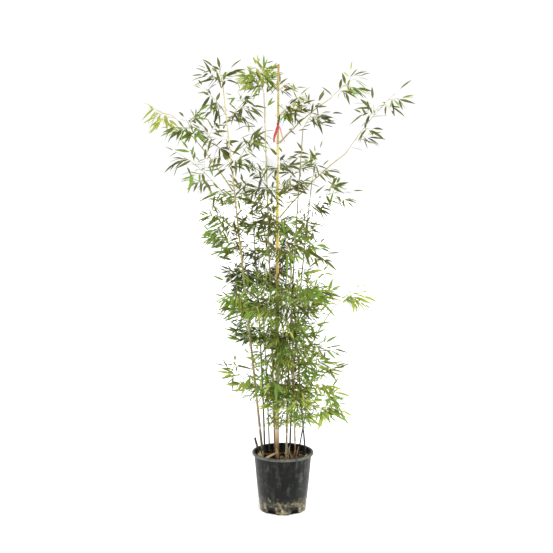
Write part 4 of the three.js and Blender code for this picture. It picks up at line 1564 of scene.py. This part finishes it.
turns = [2 * math.pi * 2 * i / 40 for i in range(41)]
band_widths = [RIBBON_BAND * (0.72 + 0.2 * math.sin(3 * a)) for a in turns]
put_strip(strips["ribbon"], [wound_at(a) for a in turns], [UP] * len(turns), band_widths)
knot = cane_there + Vector((0, -golden_radius - 2.2, 0))
parts = [i / 16 for i in range(17)]
for name, (length, width, lean, belly) in TAILS.items():
    down = Vector((-math.sin(lean), 0, -math.cos(lean)))
    ripples = [Vector((2.2 * math.sin(7 * t), belly * math.sin(math.pi * t) - 1.5 * t, 0)) for t in parts]
    centres = [knot + down * (length * t) + ripple for t, ripple in zip(parts, ripples)]
    across = Vector((math.cos(lean), 0, -math.sin(lean)))
    sides = [(across * math.cos(1.2 * t) + Vector((0, 1, 0)) * math.sin(1.2 * t)) for t in parts]
    put_strip(strips[name], centres, sides, [width * min(1.0, 0.3 + 3 * t) for t in parts])
lump = [(0.5, -3.5), (3.0, -3.0), (4.2, -1.0), (3.8, 1.4), (2.4, 3.2), (0.5, 3.6)]
knot_points = [knot + Vector((p.x, p.y * 0.6 - 1, p.z)) for p in turned(lump, 12, 0.3)]
strips["ribbon"].put(knot_points, ring_faces(len(lump), 12))
for name, strip in strips.items():
    piece = strip.made(name, red_film if name == "ribbon" else pink_film)
    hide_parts("red_ribbon")
    print(name, triangles(piece), "triangles")

# %% [markdown]
# ## The blank card
#
# A white card hangs from a loop round the golden cane. It is blank. Card is never quite flat outdoors, so
# it is bowed a little, and its corners are rounded as a die cuts them. It is made as rings that shrink
# from the rim to the middle, on both faces, so that the bow is smooth.

# %% White card
board, tree = new_finish("matt white coated card")
fibre = cloud(tree, place_of(tree), 320.0, 3.0)
tint = ramped(tree, fibre, [(0.35, "#F3F3F6"), (0.7, "#FAFAFC")])
finished(tree, coated(tree, tint, 0.55, Normal=bumped(tree, fibre, 0.1, 0.0003)))
print("finish of the card:", board.name)

# %% The card and its loop
TAG_HEIGHT = 1632
CARD = {"width": 60, "height": 68, "corner": 5, "thick": 0.5, "bow": 4}
card_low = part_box("blank_tag")[0] / MM
card_middle = Vector((card_low.x + CARD["width"] / 2, card_low.y + 1.5, card_low.z + CARD["height"] / 2))
corners = [(1, 1, 0), (-1, 1, 90), (-1, -1, 180), (1, -1, 270)]
rim = []
for sx, sz, start in corners:
    inner = (sx * (CARD["width"] / 2 - CARD["corner"]), sz * (CARD["height"] / 2 - CARD["corner"]))
    rim += arc(inner, CARD["corner"], start, start + 90, 6)
card = Heap()
card_rings = [(0.05, -1), (0.35, -1), (0.65, -1), (1, -1), (1, 1), (0.65, 1), (0.35, 1), (0.05, 1)]
for shrink, face in card_rings:
    ring = []
    for x, z in rim:
        bow = CARD["bow"] * (x / CARD["width"] * 2) ** 2
        place = Vector((x * shrink, bow * shrink**2 + face * CARD["thick"] / 2, z * shrink))
        ring.append(card_middle + place)
    card.put(ring, [])
card.faces = ring_faces(len(card_rings), len(rim))
hung_at = golden.part_at(TAG_HEIGHT)
loop_centre, loop_radius = golden.at(hung_at), golden.radius(hung_at) + 0.6
loop_rows = [(0, -2.2), (1, -2.6), (1.4, 0), (1, 2.6), (0, 2.2), (-0.2, 0), (0, -2.2)]
loop_rows = [(loop_radius + out, z) for out, z in loop_rows]
loop_points = [loop_centre + p for p in turned(loop_rows, 20)]
card.put(loop_points, ring_faces(len(loop_rows), 20, closed=False))
card_piece = card.made("card", board)
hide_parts("blank_tag")
print("card", triangles(card_piece), "triangles")

# %% [markdown]
# ## The floor
#
# The plant stands on a plain white studio floor, wide enough to run out of view. It is lit from below
# as well, as on a product table, so that the shadow stays faint. It has a very slight grain, so that
# the light on it isn't dead flat.

# %% Studio floor
FLOOR_RADIUS = 14  # metres
FLOOR_GLOW = 0.24  # the light from below, through the white floor

paper, tree = new_finish("white studio paper")
grain = cloud(tree, place_of(tree), 60.0)
tint = ramped(tree, grain, [(0.3, "#F7F7F5"), (0.7, "#FBFBFA")])
glow = {"Emission_Color": (1, 1, 1, 1), "Emission_Strength": FLOOR_GLOW}
finished(tree, coated(tree, tint, 0.8, **glow))

floor_mesh = bmesh.new()
bmesh.ops.create_circle(floor_mesh, cap_ends=True, segments=96, radius=FLOOR_RADIUS)
floor = placed("floor", bpy.data.meshes.new("floor"))
floor_mesh.to_mesh(floor.data)
floor_mesh.free()
floor.data.materials.append(paper)
floor.location.z = CAD_LOW.z
print("floor radius", FLOOR_RADIUS, "metres")
